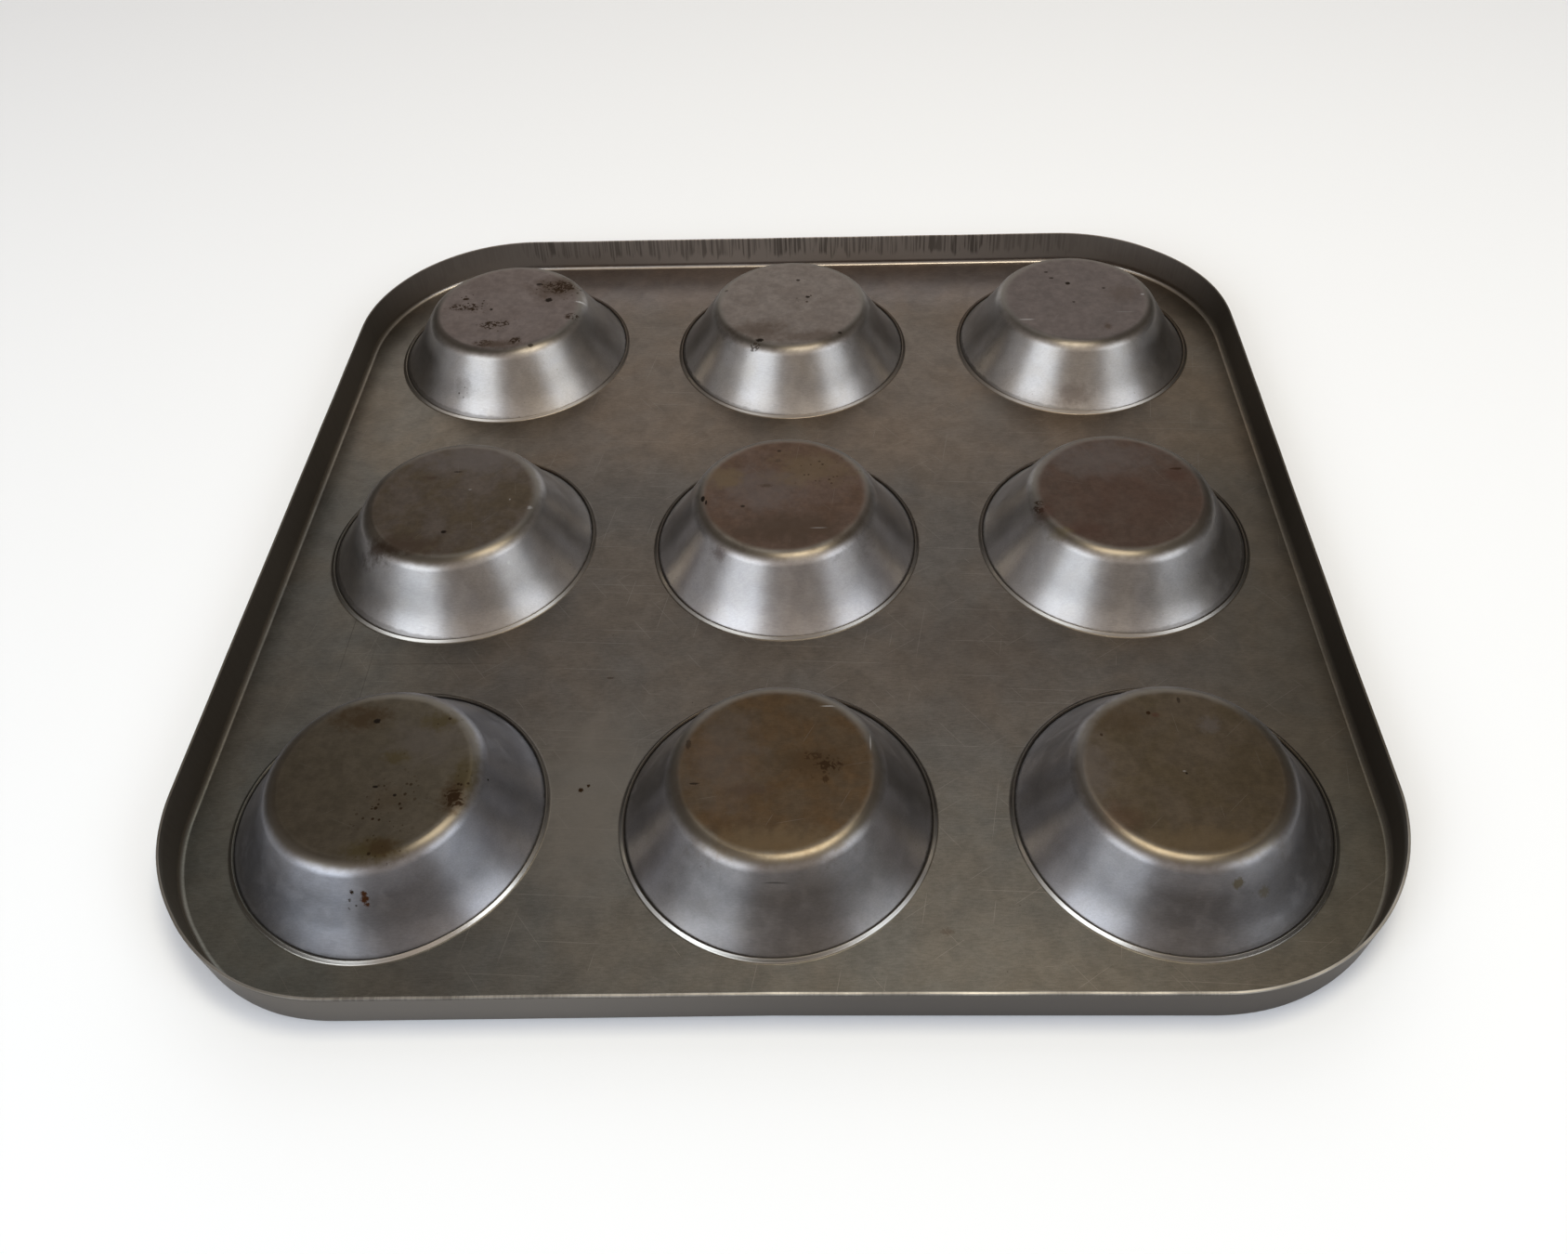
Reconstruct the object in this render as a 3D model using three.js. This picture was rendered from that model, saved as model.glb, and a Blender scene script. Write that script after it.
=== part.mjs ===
// A square bun and muffin pan: tapered cups seamed into the holes of one pressed plate with an upstanding rim.
// Millimetres, +Z up. The pan lies turned over on a flat surface, with the bases of its cups up.
// The origin is on that surface, under the middle of the centre cup.
import * as THREE from "three";
import { mergeVertices } from "three/addons/utils/BufferGeometryUtils.js";

// Cups
const rowNames = ["front", "middle", "back"];
const columnNames = ["left", "middle", "right"];
const cupMouthDiameter = 96.5; // outside of the wall, where it meets the flange
const cupBaseDiameter = 63.5; // outside, with the corner between wall and base drawn sharp
const cupHeight = 24.5; // face of the flange to the outside of the base
const cupThickness = 0.8;
const cupBaseRounding = 6.5; // outside radius between wall and base
const cupBendHeight = 5.5; // where the wall starts to flare towards the flange, with that bend drawn sharp
const cupBendRadius = 50;
const cupFootLean = THREE.MathUtils.degToRad(44.5); // of the flared foot, from upright
const flangeWidth = 5; // how far the flange runs under the plate
const flangeRounding = 0.4; // radius between wall and flange, on the plate's side

// Plate and rim
const plateThickness = 0.8;
const landBetweenCups = 23.5; // plate between the walls of two neighbours
const edgeLand = 15.75; // plate from an outer cup's wall to the outside of the rim's foot
const rimHeight = 14.7; // the plate's baking face to the raw edge
const rimLean = THREE.MathUtils.degToRad(5); // outward from upright
const rimBendRadius = 2.4; // inside radius between plate and rim

// Seam: the edge of each hole is turned up as a short collar that follows the cup's foot
const seamGap = 0.5; // between the cup's foot and the collar
const collarHeight = 0.5; // above the plate
const collarBendRadius = 1; // between the plate and the outside of the collar

// Facets
const cupSegments = 32;
const cornerSegments = 8;
const baseArcSteps = 4;
const bendArcSteps = 2;
const rimArcSteps = 3;

// Worked out from the sizes above
const cupPitch = cupMouthDiameter + landBetweenCups;
const plateBottom = cupThickness;
const plateTop = plateBottom + plateThickness;
const cornerRadius = cupMouthDiameter / 2 + edgeLand; // the rim's corners are concentric with the corner cups
const halfWidth = ((columnNames.length - 1) / 2) * cupPitch + cornerRadius;
const halfDepth = ((rowNames.length - 1) / 2) * cupPitch + cornerRadius;
const cupBendFromAxis = cupMouthDiameter / 2 - (cupBendHeight - plateBottom) * Math.tan(cupFootLean);
const wallLean = Math.atan2(cupBendFromAxis - cupBaseDiameter / 2, cupHeight - cupBendHeight);

const point = (x, y) => new THREE.Vector2(x, y);
const sharp = (x, y) => ({ at: point(x, y) });
const rounded = (x, y, radius, steps) => ({ at: point(x, y), radius, steps });

// Radius of the line that lies a given distance outside a cup's wall, at height z above the bend.
function wallRadius(z, outside) {
  return cupBendFromAxis - (z - cupBendHeight) * Math.tan(wallLean) + outside / Math.cos(wallLean);
}

// The same for its foot, below the bend.
function footRadius(z, outside) {
  return cupMouthDiameter / 2 - (z - plateBottom) * Math.tan(cupFootLean) + outside / Math.cos(cupFootLean);
}

// The bend between them.
function wallBend(outside) {
  const spread = 1 / Math.cos(cupFootLean) - 1 / Math.cos(wallLean);
  const z = cupBendHeight + (outside * spread) / (Math.tan(cupFootLean) - Math.tan(wallLean));
  return rounded(footRadius(z, outside), z, cupBendRadius - outside, bendArcSteps);
}

// A profile through corner points, with an arc in place of each corner that has a radius.
function profileThrough(corners) {
  return corners.flatMap(({ at, radius, steps }, i) => {
    if (!radius) return [at];
    const back = corners[i - 1].at.clone().sub(at).normalize();
    const ahead = corners[i + 1].at.clone().sub(at).normalize();
    const halfAngle = Math.acos(back.dot(ahead)) / 2;
    const bisector = back.clone().add(ahead).normalize();
    const centre = bisector.multiplyScalar(radius / Math.sin(halfAngle)).add(at);
    const start = back.clone().multiplyScalar(radius / Math.tan(halfAngle)).add(at);
    const sweep = Math.sign(ahead.cross(back)) * (Math.PI - 2 * halfAngle);
    return Array.from({ length: steps + 1 }, (_, k) => start.clone().rotateAround(centre, (sweep * k) / steps));
  });
}

// A closed loop round a cup's axis.
function ringLoop({ x: centreX, y: centreY }, { x: radius, y: z }) {
  return Array.from({ length: cupSegments }, (_, k) => {
    const angle = (k / cupSegments) * 2 * Math.PI;
    return new THREE.Vector3(centreX + radius * Math.cos(angle), centreY + radius * Math.sin(angle), z);
  });
}

// A closed loop parallel to the rim. Its distance from the axis is counted at the middle of the sides that face X.
function rimLoop({ x: fromAxis, y: z }) {
  const radius = fromAxis - halfWidth + cornerRadius;
  const quarters = [[1, 1], [-1, 1], [-1, -1], [1, -1]];
  return quarters.flatMap(([sideX, sideY], quarter) =>
    Array.from({ length: cornerSegments + 1 }, (_, k) => {
      const angle = (quarter + k / cornerSegments) * (Math.PI / 2);
      const x = sideX * (halfWidth - cornerRadius) + radius * Math.cos(angle);
      const y = sideY * (halfDepth - cornerRadius) + radius * Math.sin(angle);
      return new THREE.Vector3(x, y, z);
    }),
  );
}

// Triangles between loops of equal length. They face outward where the loops run anticlockwise and rise.
function skin(loops) {
  const triangles = [];
  for (let i = 0; i + 1 < loops.length; i++) {
    loops[i].forEach((a, j) => {
      const k = (j + 1) % loops[i].length;
      const [b, c, d] = [loops[i][k], loops[i + 1][k], loops[i + 1][j]];
      triangles.push(a, b, c, a, c, d);
    });
  }
  return triangles;
}

// Triangles of a flat face with holes.
function flatFace(outline, holes, facesUp) {
  const flat = (loop) => loop.map(({ x, y }) => point(x, y));
  const vertices = [outline, ...holes].flat();
  return THREE.ShapeUtils.triangulateShape(flat(outline), holes.map(flat)).flatMap((triangle) => {
    const corners = triangle.map((k) => vertices[k]);
    return facesUp ? corners : corners.reverse();
  });
}

// A drawn cup: flat base, tapered wall, flared foot and a flange under the plate, all of one thickness.
function cupGeometry() {
  const insideBase = cupHeight - cupThickness;
  const flangeRadius = cupMouthDiameter / 2 + flangeWidth;
  const profile = profileThrough([
    sharp(0, insideBase),
    rounded(wallRadius(insideBase, -cupThickness), insideBase, cupBaseRounding - cupThickness, bendArcSteps),
    wallBend(-cupThickness),
    rounded(footRadius(0, -cupThickness), 0, flangeRounding + cupThickness, bendArcSteps),
    sharp(flangeRadius, 0),
    sharp(flangeRadius, cupThickness),
    rounded(footRadius(cupThickness, 0), cupThickness, flangeRounding, 1),
    wallBend(0),
    rounded(wallRadius(cupHeight, 0), cupHeight, cupBaseRounding, baseArcSteps),
    sharp(0, cupHeight),
  ]);
  return new THREE.LatheGeometry(profile, cupSegments).rotateX(Math.PI / 2);
}

// Section of the rim, from the plate's baking face over the raw edge to its upper face.
function rimProfile() {
  const outsideAt = (z) => halfWidth + (z - plateBottom) * Math.tan(rimLean);
  const insideAt = (z) => outsideAt(z) - plateThickness / Math.cos(rimLean);
  const edgeOutside = plateBottom + rimHeight;
  const edgeInside = edgeOutside + plateThickness * Math.sin(rimLean);
  return profileThrough([
    sharp(0, plateBottom),
    rounded(outsideAt(plateBottom), plateBottom, rimBendRadius + plateThickness, rimArcSteps),
    sharp(outsideAt(edgeOutside), edgeOutside),
    sharp(insideAt(edgeInside), edgeInside),
    rounded(insideAt(plateTop), plateTop, rimBendRadius, rimArcSteps),
    sharp(0, plateTop),
  ]).slice(1, -1);
}

// Section of a collar, from the plate's upper face over the raw edge to its baking face.
function collarProfile() {
  const edgeInside = plateTop + collarHeight;
  const edgeOutside = edgeInside + plateThickness * Math.sin(cupFootLean);
  const outside = seamGap + plateThickness;
  return profileThrough([
    sharp(halfWidth, plateTop),
    rounded(footRadius(plateTop, outside), plateTop, collarBendRadius, bendArcSteps),
    sharp(footRadius(edgeOutside, outside), edgeOutside),
    sharp(footRadius(edgeInside, seamGap), edgeInside),
    rounded(footRadius(plateBottom, seamGap), plateBottom, collarBendRadius + plateThickness, bendArcSteps),
    sharp(halfWidth, plateBottom),
  ]).slice(1, -1);
}

// The pressed sheet: two flat faces, the rim that joins them outside and the collars that join them in the holes.
function plateGeometry(cupCentres) {
  const rim = rimProfile().map(rimLoop);
  const collars = cupCentres.map((centre) => collarProfile().map((at) => ringLoop(centre, at)));
  const triangles = [
    ...skin(rim),
    ...collars.flatMap(skin),
    ...flatFace(rim.at(0), collars.map((collar) => collar.at(-1)), false),
    ...flatFace(rim.at(-1), collars.map((collar) => collar.at(0)), true),
  ];
  const geometry = mergeVertices(new THREE.BufferGeometry().setFromPoints(triangles));
  geometry.computeVertexNormals();
  return geometry;
}

function namedMesh(name, geometry, finish) {
  const mesh = new THREE.Mesh(geometry, new THREE.MeshStandardMaterial(finish));
  mesh.name = name;
  return mesh;
}

const plateFinish = { color: 0x635c54, roughness: 0.45, metalness: 0.9 };
const cupFinish = { color: 0x8f8e93, roughness: 0.35, metalness: 0.95 };

const cups = rowNames.flatMap((row, j) =>
  columnNames.map((column, i) => ({
    name: `cup_${row}_${column}`,
    x: (i - (columnNames.length - 1) / 2) * cupPitch,
    y: (j - (rowNames.length - 1) / 2) * cupPitch,
  })),
);

const pan = new THREE.Group();
pan.name = "muffin_pan";
pan.add(namedMesh("pan_plate", plateGeometry(cups), plateFinish));
for (const { name, x, y } of cups) {
  const cup = namedMesh(name, cupGeometry(), cupFinish);
  cup.position.set(x, y, 0);
  pan.add(cup);
}

export default pan;
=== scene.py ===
import math
from typing import NamedTuple

import bmesh
import bpy
from bpy.props import FloatProperty, FloatVectorProperty, IntProperty, PointerProperty
from mathutils import Matrix, Vector, noise


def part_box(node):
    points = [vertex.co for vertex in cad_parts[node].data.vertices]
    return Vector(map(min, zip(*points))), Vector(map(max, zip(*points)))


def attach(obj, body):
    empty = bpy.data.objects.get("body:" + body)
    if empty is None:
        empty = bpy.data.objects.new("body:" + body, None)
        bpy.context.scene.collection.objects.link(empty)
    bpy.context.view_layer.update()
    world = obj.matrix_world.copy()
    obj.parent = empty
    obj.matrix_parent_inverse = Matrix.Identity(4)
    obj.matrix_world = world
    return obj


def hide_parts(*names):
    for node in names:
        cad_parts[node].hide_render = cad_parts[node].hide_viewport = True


bl_info = {
    "name": "Muffin Pan",
    "version": (1, 0, 0),
    "blender": (4, 5, 0),
    "location": "3D View > Sidebar > Muffin Pan",
    "description": "Builds a used square muffin pan with its finishes, and a plain stage to show it on",
    "category": "Add Mesh",
}

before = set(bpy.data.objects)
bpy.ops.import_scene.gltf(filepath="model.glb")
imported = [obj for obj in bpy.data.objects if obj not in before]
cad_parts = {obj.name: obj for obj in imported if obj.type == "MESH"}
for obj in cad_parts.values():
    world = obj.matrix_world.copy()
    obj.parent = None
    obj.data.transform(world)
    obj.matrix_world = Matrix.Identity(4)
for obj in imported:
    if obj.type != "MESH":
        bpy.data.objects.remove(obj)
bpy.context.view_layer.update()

MM = 0.001
BODY = "root"
PLATE = "pan_plate"
ROWS = ("front", "middle", "back")
COLUMNS = ("left", "middle", "right")
PLATE_LOW, PLATE_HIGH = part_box(PLATE)
CUP_LOW, CUP_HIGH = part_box("cup_middle_middle")
PHOTO_WIDTH = 1688
PHOTO_SHIFT_X, PHOTO_SHIFT_Y = -18, -75
# Marks sheet faces in a seam's gap, which get dark grime and painted shade
GRIMED_AND_SHADED = -1.0
SENSOR = 36.0
WALL, BASE = 0, 1
BASE_EDGE = CUP_HIGH.z - 0.15 * MM
RIM_BEND_STEPS = 10
ROW_SEED, COLUMN_SEED = 11.3, 5.7
# How bright each hole's lip is rubbed in front of its cup, row by row, which also paints in the lip's
# highlight there
LIP_WEAR_AND_HIGHLIGHT = ((1.0, 1.0, 0.9), (0.55, 0.40, 0.55), (0.5, 0.35, 0.5))


def clamp(value):
    """The value, held from 0 to 1."""
    return min(1.0, max(0.0, value))


def cup_name(row, column):
    """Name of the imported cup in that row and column."""
    return f"cup_{ROWS[row]}_{COLUMNS[column]}"


def cup_centre(row, column):
    """Axis of a cup, on the surface that the pan rests on."""
    low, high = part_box(cup_name(row, column))
    return Vector(((low.x + high.x) / 2, (low.y + high.y) / 2, 0.0))


# What a user would change
def length_field(name, text, millimetres):
    """A length, given here in millimetres."""
    return FloatProperty(name=name, description=text, default=millimetres * MM, unit="LENGTH")


def angle_field(name, text, radians):
    """An angle, given here in radians."""
    return FloatProperty(name=name, description=text, default=radians, subtype="ANGLE")


def share_field(name, text, value):
    """A share from 0 to 1."""
    return FloatProperty(name=name, description=text, default=value, min=0.0, max=1.0, subtype="FACTOR")


def colour_field(name, text, value):
    """A colour in linear red, green and blue."""
    return FloatVectorProperty(name=name, description=text, default=value, size=3, subtype="COLOR")


class PanSizes(bpy.types.PropertyGroup):
    """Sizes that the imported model's boxes do not give."""

    cup_mouth: length_field("Cup mouth", "Outside width of a cup's wall where it meets the flange", 96.5)
    cup_base: length_field("Cup base", "Outside width of a cup's base, with its corner drawn sharp", 63.5)
    cup_rounding: length_field("Cup rounding", "Outside radius between a cup's wall and its base", 6.5)
    cup_bend_height: length_field("Cup bend height", "Where a cup's wall starts to flare, drawn sharp", 5.5)
    cup_bend: length_field("Cup bend", "Radius between a cup's wall and its flared foot", 50.0)
    cup_foot_lean: angle_field("Cup foot lean", "Lean of a cup's foot from upright", math.radians(44.5))
    flange_rounding: length_field("Flange rounding", "Radius between a cup's wall and its flange", 0.4)
    sheet: length_field("Sheet", "Thickness of the plate and of the cups", 0.8)
    rim_lean: angle_field("Rim lean", "How far the rim leans outward from upright", math.radians(5))
    rim_bend: length_field("Rim bend", "Inside radius between the plate and the rim", 1.6)
    seam_gap: length_field("Seam gap", "Room between a cup's wall and the collar of its hole", 0.25)
    collar_height: length_field("Collar height", "How far a hole's turned edge stands above the plate", 0.5)
    collar_bend: length_field("Collar bend", "Radius between the plate and the outside of a collar", 1.0)
    raw_edge: length_field("Raw edge", "Radius worn on the sheet's cut edges", 0.18)
    wave: length_field("Sheet wave", "How far the used sheet swells from true", 0.09)
    near_bow: length_field("Near bow", "How far the foot of the near rim has bowed out", 0.85)
    left_bow: length_field("Left bow", "How far the near rim has bowed out at its left end", 2.3)
    right_bow: length_field("Right bow", "How far the right rim has bowed out towards the back", 1.2)
    octant_steps: IntProperty(
        name="Octant steps", description="Facets in an eighth of a turn round a cup", default=18, min=4)


class PanFinish(bpy.types.PropertyGroup):
    """Colours and gloss of the two steels."""

    plate_brown: colour_field("Plate brown", "Baked brown-grey of the plate", (0.093, 0.078, 0.065))
    plate_grey: colour_field("Plate grey", "Cleaner grey between the brown clouds", (0.085, 0.076, 0.068))
    plate_roughness: share_field("Plate roughness", "Satin of the plate", 0.36)
    cup_steel: colour_field("Cup steel", "Bluish silver of the cups' walls", (0.345, 0.342, 0.355))
    cup_roughness: share_field("Cup roughness", "Satin of the cups' walls", 0.35)
    bare_steel: colour_field("Bare steel", "Steel rubbed clean on edges", (0.48, 0.465, 0.44))


class StageSetup(bpy.types.PropertyGroup):
    """Camera, floor and light."""

    camera_lift: angle_field("Camera lift", "Angle of the camera above the floor", 0.7923)
    camera_turn: angle_field("Camera turn", "Angle of the camera round the pan, from the front", -0.0424)
    camera_roll: angle_field("Camera roll", "Turn of the camera about its own view", -0.0407)
    camera_distance: length_field("Camera distance", "From the camera to what it looks at", 487.1)
    camera_target: FloatVectorProperty(
        name="Camera target", description="Point on the plate that the camera looks at",
        default=(5.42 * MM, -8.5 * MM, 1.6 * MM), size=3, subtype="TRANSLATION")
    camera_lens: FloatProperty(
        name="Lens", description="Focal length in millimetres on the sensor's width", default=30.51)
    camera_shift: FloatVectorProperty(
        name="Shift", description="Shift of the frame, in shares of its width",
        default=(PHOTO_SHIFT_X / PHOTO_WIDTH, PHOTO_SHIFT_Y / PHOTO_WIDTH), size=2)
    floor_colour: colour_field("Floor", "Plain pale floor", (0.87, 0.915, 0.98))
    light_level: FloatProperty(
        name="Light level", description="Scale of the world and of every lamp", default=1.25, min=0.0)


# Sheet sections and meshes
class Corner(NamedTuple):
    """A corner of a sheet's section: distance from the axis, height, radius, facets, and how bare it is."""

    out: float
    up: float
    radius: float = 0.0
    steps: int = 0
    bare: float = 0.0


def rounded_section(corners):
    """Points (out, up, bare) through corners, with an arc at each corner that has a radius."""
    points = []
    for index, corner in enumerate(corners):
        at = Vector((corner.out, corner.up))
        if not corner.radius:
            points.append((at.x, at.y, corner.bare))
            continue
        back = (Vector(corners[index - 1][:2]) - at).normalized()
        ahead = (Vector(corners[index + 1][:2]) - at).normalized()
        half = back.angle(ahead) / 2
        centre = at + (back + ahead).normalized() * (corner.radius / math.sin(half))
        spoke = at + back * (corner.radius / math.tan(half)) - centre
        sweep = math.copysign(math.pi - 2 * half, ahead.x * back.y - ahead.y * back.x)
        for step in range(corner.steps + 1):
            turned = Matrix.Rotation(sweep * step / corner.steps, 2) @ spoke
            share = math.sin(math.pi * step / corner.steps)
            points.append((centre.x + turned.x, centre.y + turned.y, corner.bare * share))
    return points


def filled_section(points, longest):
    """The same section with its straight stretches divided, so that no step is longer than that."""
    filled = [points[0]]
    for start, end in zip(points, points[1:]):
        length = math.hypot(end[0] - start[0], end[1] - start[1])
        pieces = max(1, math.ceil(length / longest))
        for piece in range(1, pieces + 1):
            share = piece / pieces
            filled.append(tuple(a + (b - a) * share for a, b in zip(start, end)))
    return filled


def foot_radius(sizes, up, outside):
    """Radius of the line that lies a given distance outside a cup's flared foot, at that height."""
    lean = sizes.cup_foot_lean
    return sizes.cup_mouth / 2 - (up - sizes.sheet) * math.tan(lean) + outside / math.cos(lean)


def wall_lean(sizes):
    """Lean of a cup's wall from upright, above the bend."""
    bend = foot_radius(sizes, sizes.cup_bend_height, 0.0)
    return math.atan2(bend - sizes.cup_base / 2, CUP_HIGH.z - sizes.cup_bend_height)


def wall_radius(sizes, up, outside):
    """Radius of the line that lies a given distance outside a cup's wall, at that height above the bend."""
    lean = wall_lean(sizes)
    return sizes.cup_base / 2 + (CUP_HIGH.z - up) * math.tan(lean) + outside / math.cos(lean)


def wall_bend(sizes, outside):
    """Corner between a cup's wall and its flared foot, a given distance outside the cup."""
    foot, wall = sizes.cup_foot_lean, wall_lean(sizes)
    spread = 1 / math.cos(foot) - 1 / math.cos(wall)
    up = sizes.cup_bend_height + outside * spread / (math.tan(foot) - math.tan(wall))
    return Corner(foot_radius(sizes, up, outside), up, sizes.cup_bend - outside, 6)


def cup_section(sizes):
    """A cup's section, from the middle of its inside over the flange to the middle of its base."""
    top = CUP_HIGH.z
    inside = top - sizes.sheet
    flange = (CUP_HIGH.x - CUP_LOW.x) / 2
    edge = sizes.raw_edge
    corners = [
        Corner(0.0, inside),
        Corner(wall_radius(sizes, inside, -sizes.sheet), inside, sizes.cup_rounding - sizes.sheet, 10),
        wall_bend(sizes, -sizes.sheet),
        Corner(foot_radius(sizes, 0.0, -sizes.sheet), 0.0, sizes.flange_rounding + sizes.sheet, 6),
        Corner(flange, 0.0, edge, 3, 1.0),
        Corner(flange, sizes.sheet, edge, 3, 1.0),
        Corner(foot_radius(sizes, sizes.sheet, 0.0), sizes.sheet, sizes.flange_rounding, 4),
        wall_bend(sizes, 0.0),
        Corner(wall_radius(sizes, top, 0.0), top, sizes.cup_rounding, 16),
        Corner(0.0, top),
    ]
    longest = 2.6 * MM
    return filled_section(rounded_section(corners), longest)


def collar_section(sizes):
    """A hole's turned edge, from the plate's underside over the raw edge to its upper face."""
    bottom = PLATE_LOW.z
    top = bottom + sizes.sheet
    edge_inside = top + sizes.collar_height
    edge_outside = edge_inside + sizes.sheet * math.sin(sizes.cup_foot_lean)
    gap = sizes.seam_gap
    outside = gap + sizes.sheet
    far = sizes.cup_mouth
    bend_steps = 6
    corners = [
        Corner(far, bottom),
        Corner(foot_radius(sizes, bottom, gap), bottom, sizes.collar_bend + sizes.sheet, bend_steps),
        Corner(foot_radius(sizes, edge_inside, gap), edge_inside, sizes.raw_edge, 3),
        Corner(foot_radius(sizes, edge_outside, outside), edge_outside, sizes.raw_edge, 3),
        Corner(foot_radius(sizes, top, outside), top, sizes.collar_bend, bend_steps),
        Corner(far, top),
    ]
    section = rounded_section(corners)[1:-1]
    outer_bend = len(section) - bend_steps - 1
    raw_edge = bend_steps + 3
    rubbed_from = 0.10 * MM
    rubbed_full = 0.22 * MM
    finished = []
    for number, (out, up, _) in enumerate(section):
        bare = clamp((up - top - rubbed_from) / (rubbed_full - rubbed_from))
        # Faces down in the seam's gap get grime and painted shade; the top of the outer bend is rubbed bright
        if number < outer_bend - 1:
            bare = 0.0 if number >= raw_edge else GRIMED_AND_SHADED
        finished.append((out, up, bare))
    return finished


def rim_rise(sizes):
    """Height of the rim's raw edge, at its outer corner, above the plate's underside."""
    return PLATE_HIGH.z - sizes.sheet * math.sin(sizes.rim_lean) - PLATE_LOW.z


def rim_section(sizes):
    """The rim, from the plate's upper face over the raw edge to its underside, from the outer cups' axes."""
    bottom = PLATE_LOW.z
    top = bottom + sizes.sheet
    lean = math.tan(sizes.rim_lean)
    foot = PLATE_HIGH.x - rim_rise(sizes) * lean - cup_centre(1, 2).x
    edge_outside = bottom + rim_rise(sizes)
    edge_inside = PLATE_HIGH.z

    def outer(up):
        return foot + (up - bottom) * lean

    def inner(up):
        return outer(up) - sizes.sheet / math.cos(sizes.rim_lean)

    corners = [
        Corner(0.0, top),
        Corner(inner(top), top, sizes.rim_bend, RIM_BEND_STEPS),
        Corner(inner(edge_inside), edge_inside, sizes.raw_edge, 3),
        Corner(outer(edge_outside), edge_outside, sizes.raw_edge, 3),
        Corner(outer(bottom), bottom, sizes.rim_bend + sizes.sheet, 10),
        Corner(0.0, bottom),
    ]
    longest = 1.6 * MM
    return filled_section(rounded_section(corners)[1:-1], longest)


def sheet_swell(x, y, size, seed):
    """Smooth value from -1 to 1 that changes over about that size."""
    return noise.noise(Vector((x / size, y / size, seed)))


def finished_mesh(name, bm, *materials):
    """Turns a closed bmesh into a smooth object with its materials."""
    bmesh.ops.recalc_face_normals(bm, faces=bm.faces)
    mesh = bpy.data.meshes.new(name)
    bm.to_mesh(mesh)
    bm.free()
    mesh.shade_smooth()
    for material in materials:
        mesh.materials.append(material)
    made = bpy.data.objects.new(name, mesh)
    bpy.context.scene.collection.objects.link(made)
    weighted = made.modifiers.new("Even shading", "WEIGHTED_NORMAL")
    weighted.weight = 60
    return made


def cup_mesh(sizes, seed, shift):
    """A drawn cup turned from its section, slightly swollen by use, with its base shifted a little back."""
    bm = bmesh.new()
    bare = bm.verts.layers.float.new("bare")
    turns = sizes.octant_steps * 8
    on_axis = MM * MM
    held, let_go = 4 * MM, 12 * MM
    waves_round, wave_height = 2.2, 9 * MM
    rings = []
    for out, up, worn in cup_section(sizes):
        skew = shift * up / CUP_HIGH.z
        if out < on_axis:
            rings.append([bm.verts.new((0.0, skew, up))])
            continue
        free = clamp((up - held) / (let_go - held))
        ring = []
        for turn in range(turns):
            angle = 2 * math.pi * turn / turns
            across, along = math.cos(angle), math.sin(angle)
            where = Vector((across * waves_round, along * waves_round, up / wave_height + seed))
            reach = out + sizes.wave * free * noise.noise(where)
            vertex = bm.verts.new((reach * across, reach * along + skew * free, up))
            vertex[bare] = worn
            ring.append(vertex)
        rings.append(ring)
    for low, high in zip(rings, rings[1:]):
        for turn in range(turns):
            following = (turn + 1) % turns
            corners = [low[turn % len(low)], low[following % len(low)]]
            corners += [high[following % len(high)], high[turn % len(high)]]
            face = bm.faces.new(list(dict.fromkeys(corners)))
            face.material_index = WALL if min(corner.co.z for corner in corners) < BASE_EDGE else BASE
    return bm


def tile_rays(sizes, row, column, foot):
    """Directions round a cup, each with the distance to the edge of the cup's own share of the plate.

    A share ends half way to the next cup, or at the rim's foot. Each ray that ends at the foot also gives
    the way out of the pan there, and the others give none.
    """
    pitch = cup_centre(1, 2).x - cup_centre(1, 1).x
    last_row, last_column = len(ROWS) - 1, len(COLUMNS) - 1
    least, slack = 1e-9, 0.001 * MM
    rays = []
    for quarter in range(4):
        side_x = (1, -1, -1, 1)[quarter]
        side_y = (1, 1, -1, -1)[quarter]
        outer_x = column == (last_column if side_x > 0 else 0)
        outer_y = row == (last_row if side_y > 0 else 0)
        reach_x = foot if outer_x else pitch / 2
        reach_y = foot if outer_y else pitch / 2
        diagonal = math.atan2(reach_y, reach_x)
        stops = (diagonal, math.pi / 2 - diagonal)
        if quarter % 2:
            stops = stops[::-1]
        start = quarter * math.pi / 2
        for octant, span in enumerate(stops):
            for step in range(sizes.octant_steps):
                angle = start + (stops[0] if octant else 0.0) + span * step / sizes.octant_steps
                way = Vector((math.cos(angle), math.sin(angle)))
                if outer_x and outer_y:
                    rays.append((way, foot, way))
                    continue
                to_x = reach_x / max(abs(way.x), least)
                to_y = reach_y / max(abs(way.y), least)
                ends_x = to_x <= to_y + slack
                ends_y = to_y <= to_x + slack
                outward = None
                if ends_x and outer_x:
                    outward = Vector((side_x, 0.0))
                elif ends_y and outer_y:
                    outward = Vector((0.0, side_y))
                rays.append((way, min(to_x, to_y), outward))
    return rays


def rim_along(edge, half, foot):
    """Distance anticlockwise along the rim's foot to a point on it. Half is how far out the last axes lie."""
    quarter_length = 2 * half + foot * math.pi / 2
    slack = 0.01 * MM
    for quarter in range(4):
        place = Matrix.Rotation(-quarter * math.pi / 2, 2) @ edge
        if place.x < half - slack or place.y < -half - slack:
            continue
        if place.y <= half:
            return quarter * quarter_length + place.y + half
        return quarter * quarter_length + 2 * half + foot * math.atan2(place.y - half, place.x - half)
    raise ValueError(f"{edge} is not on the rim's foot")


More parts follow.
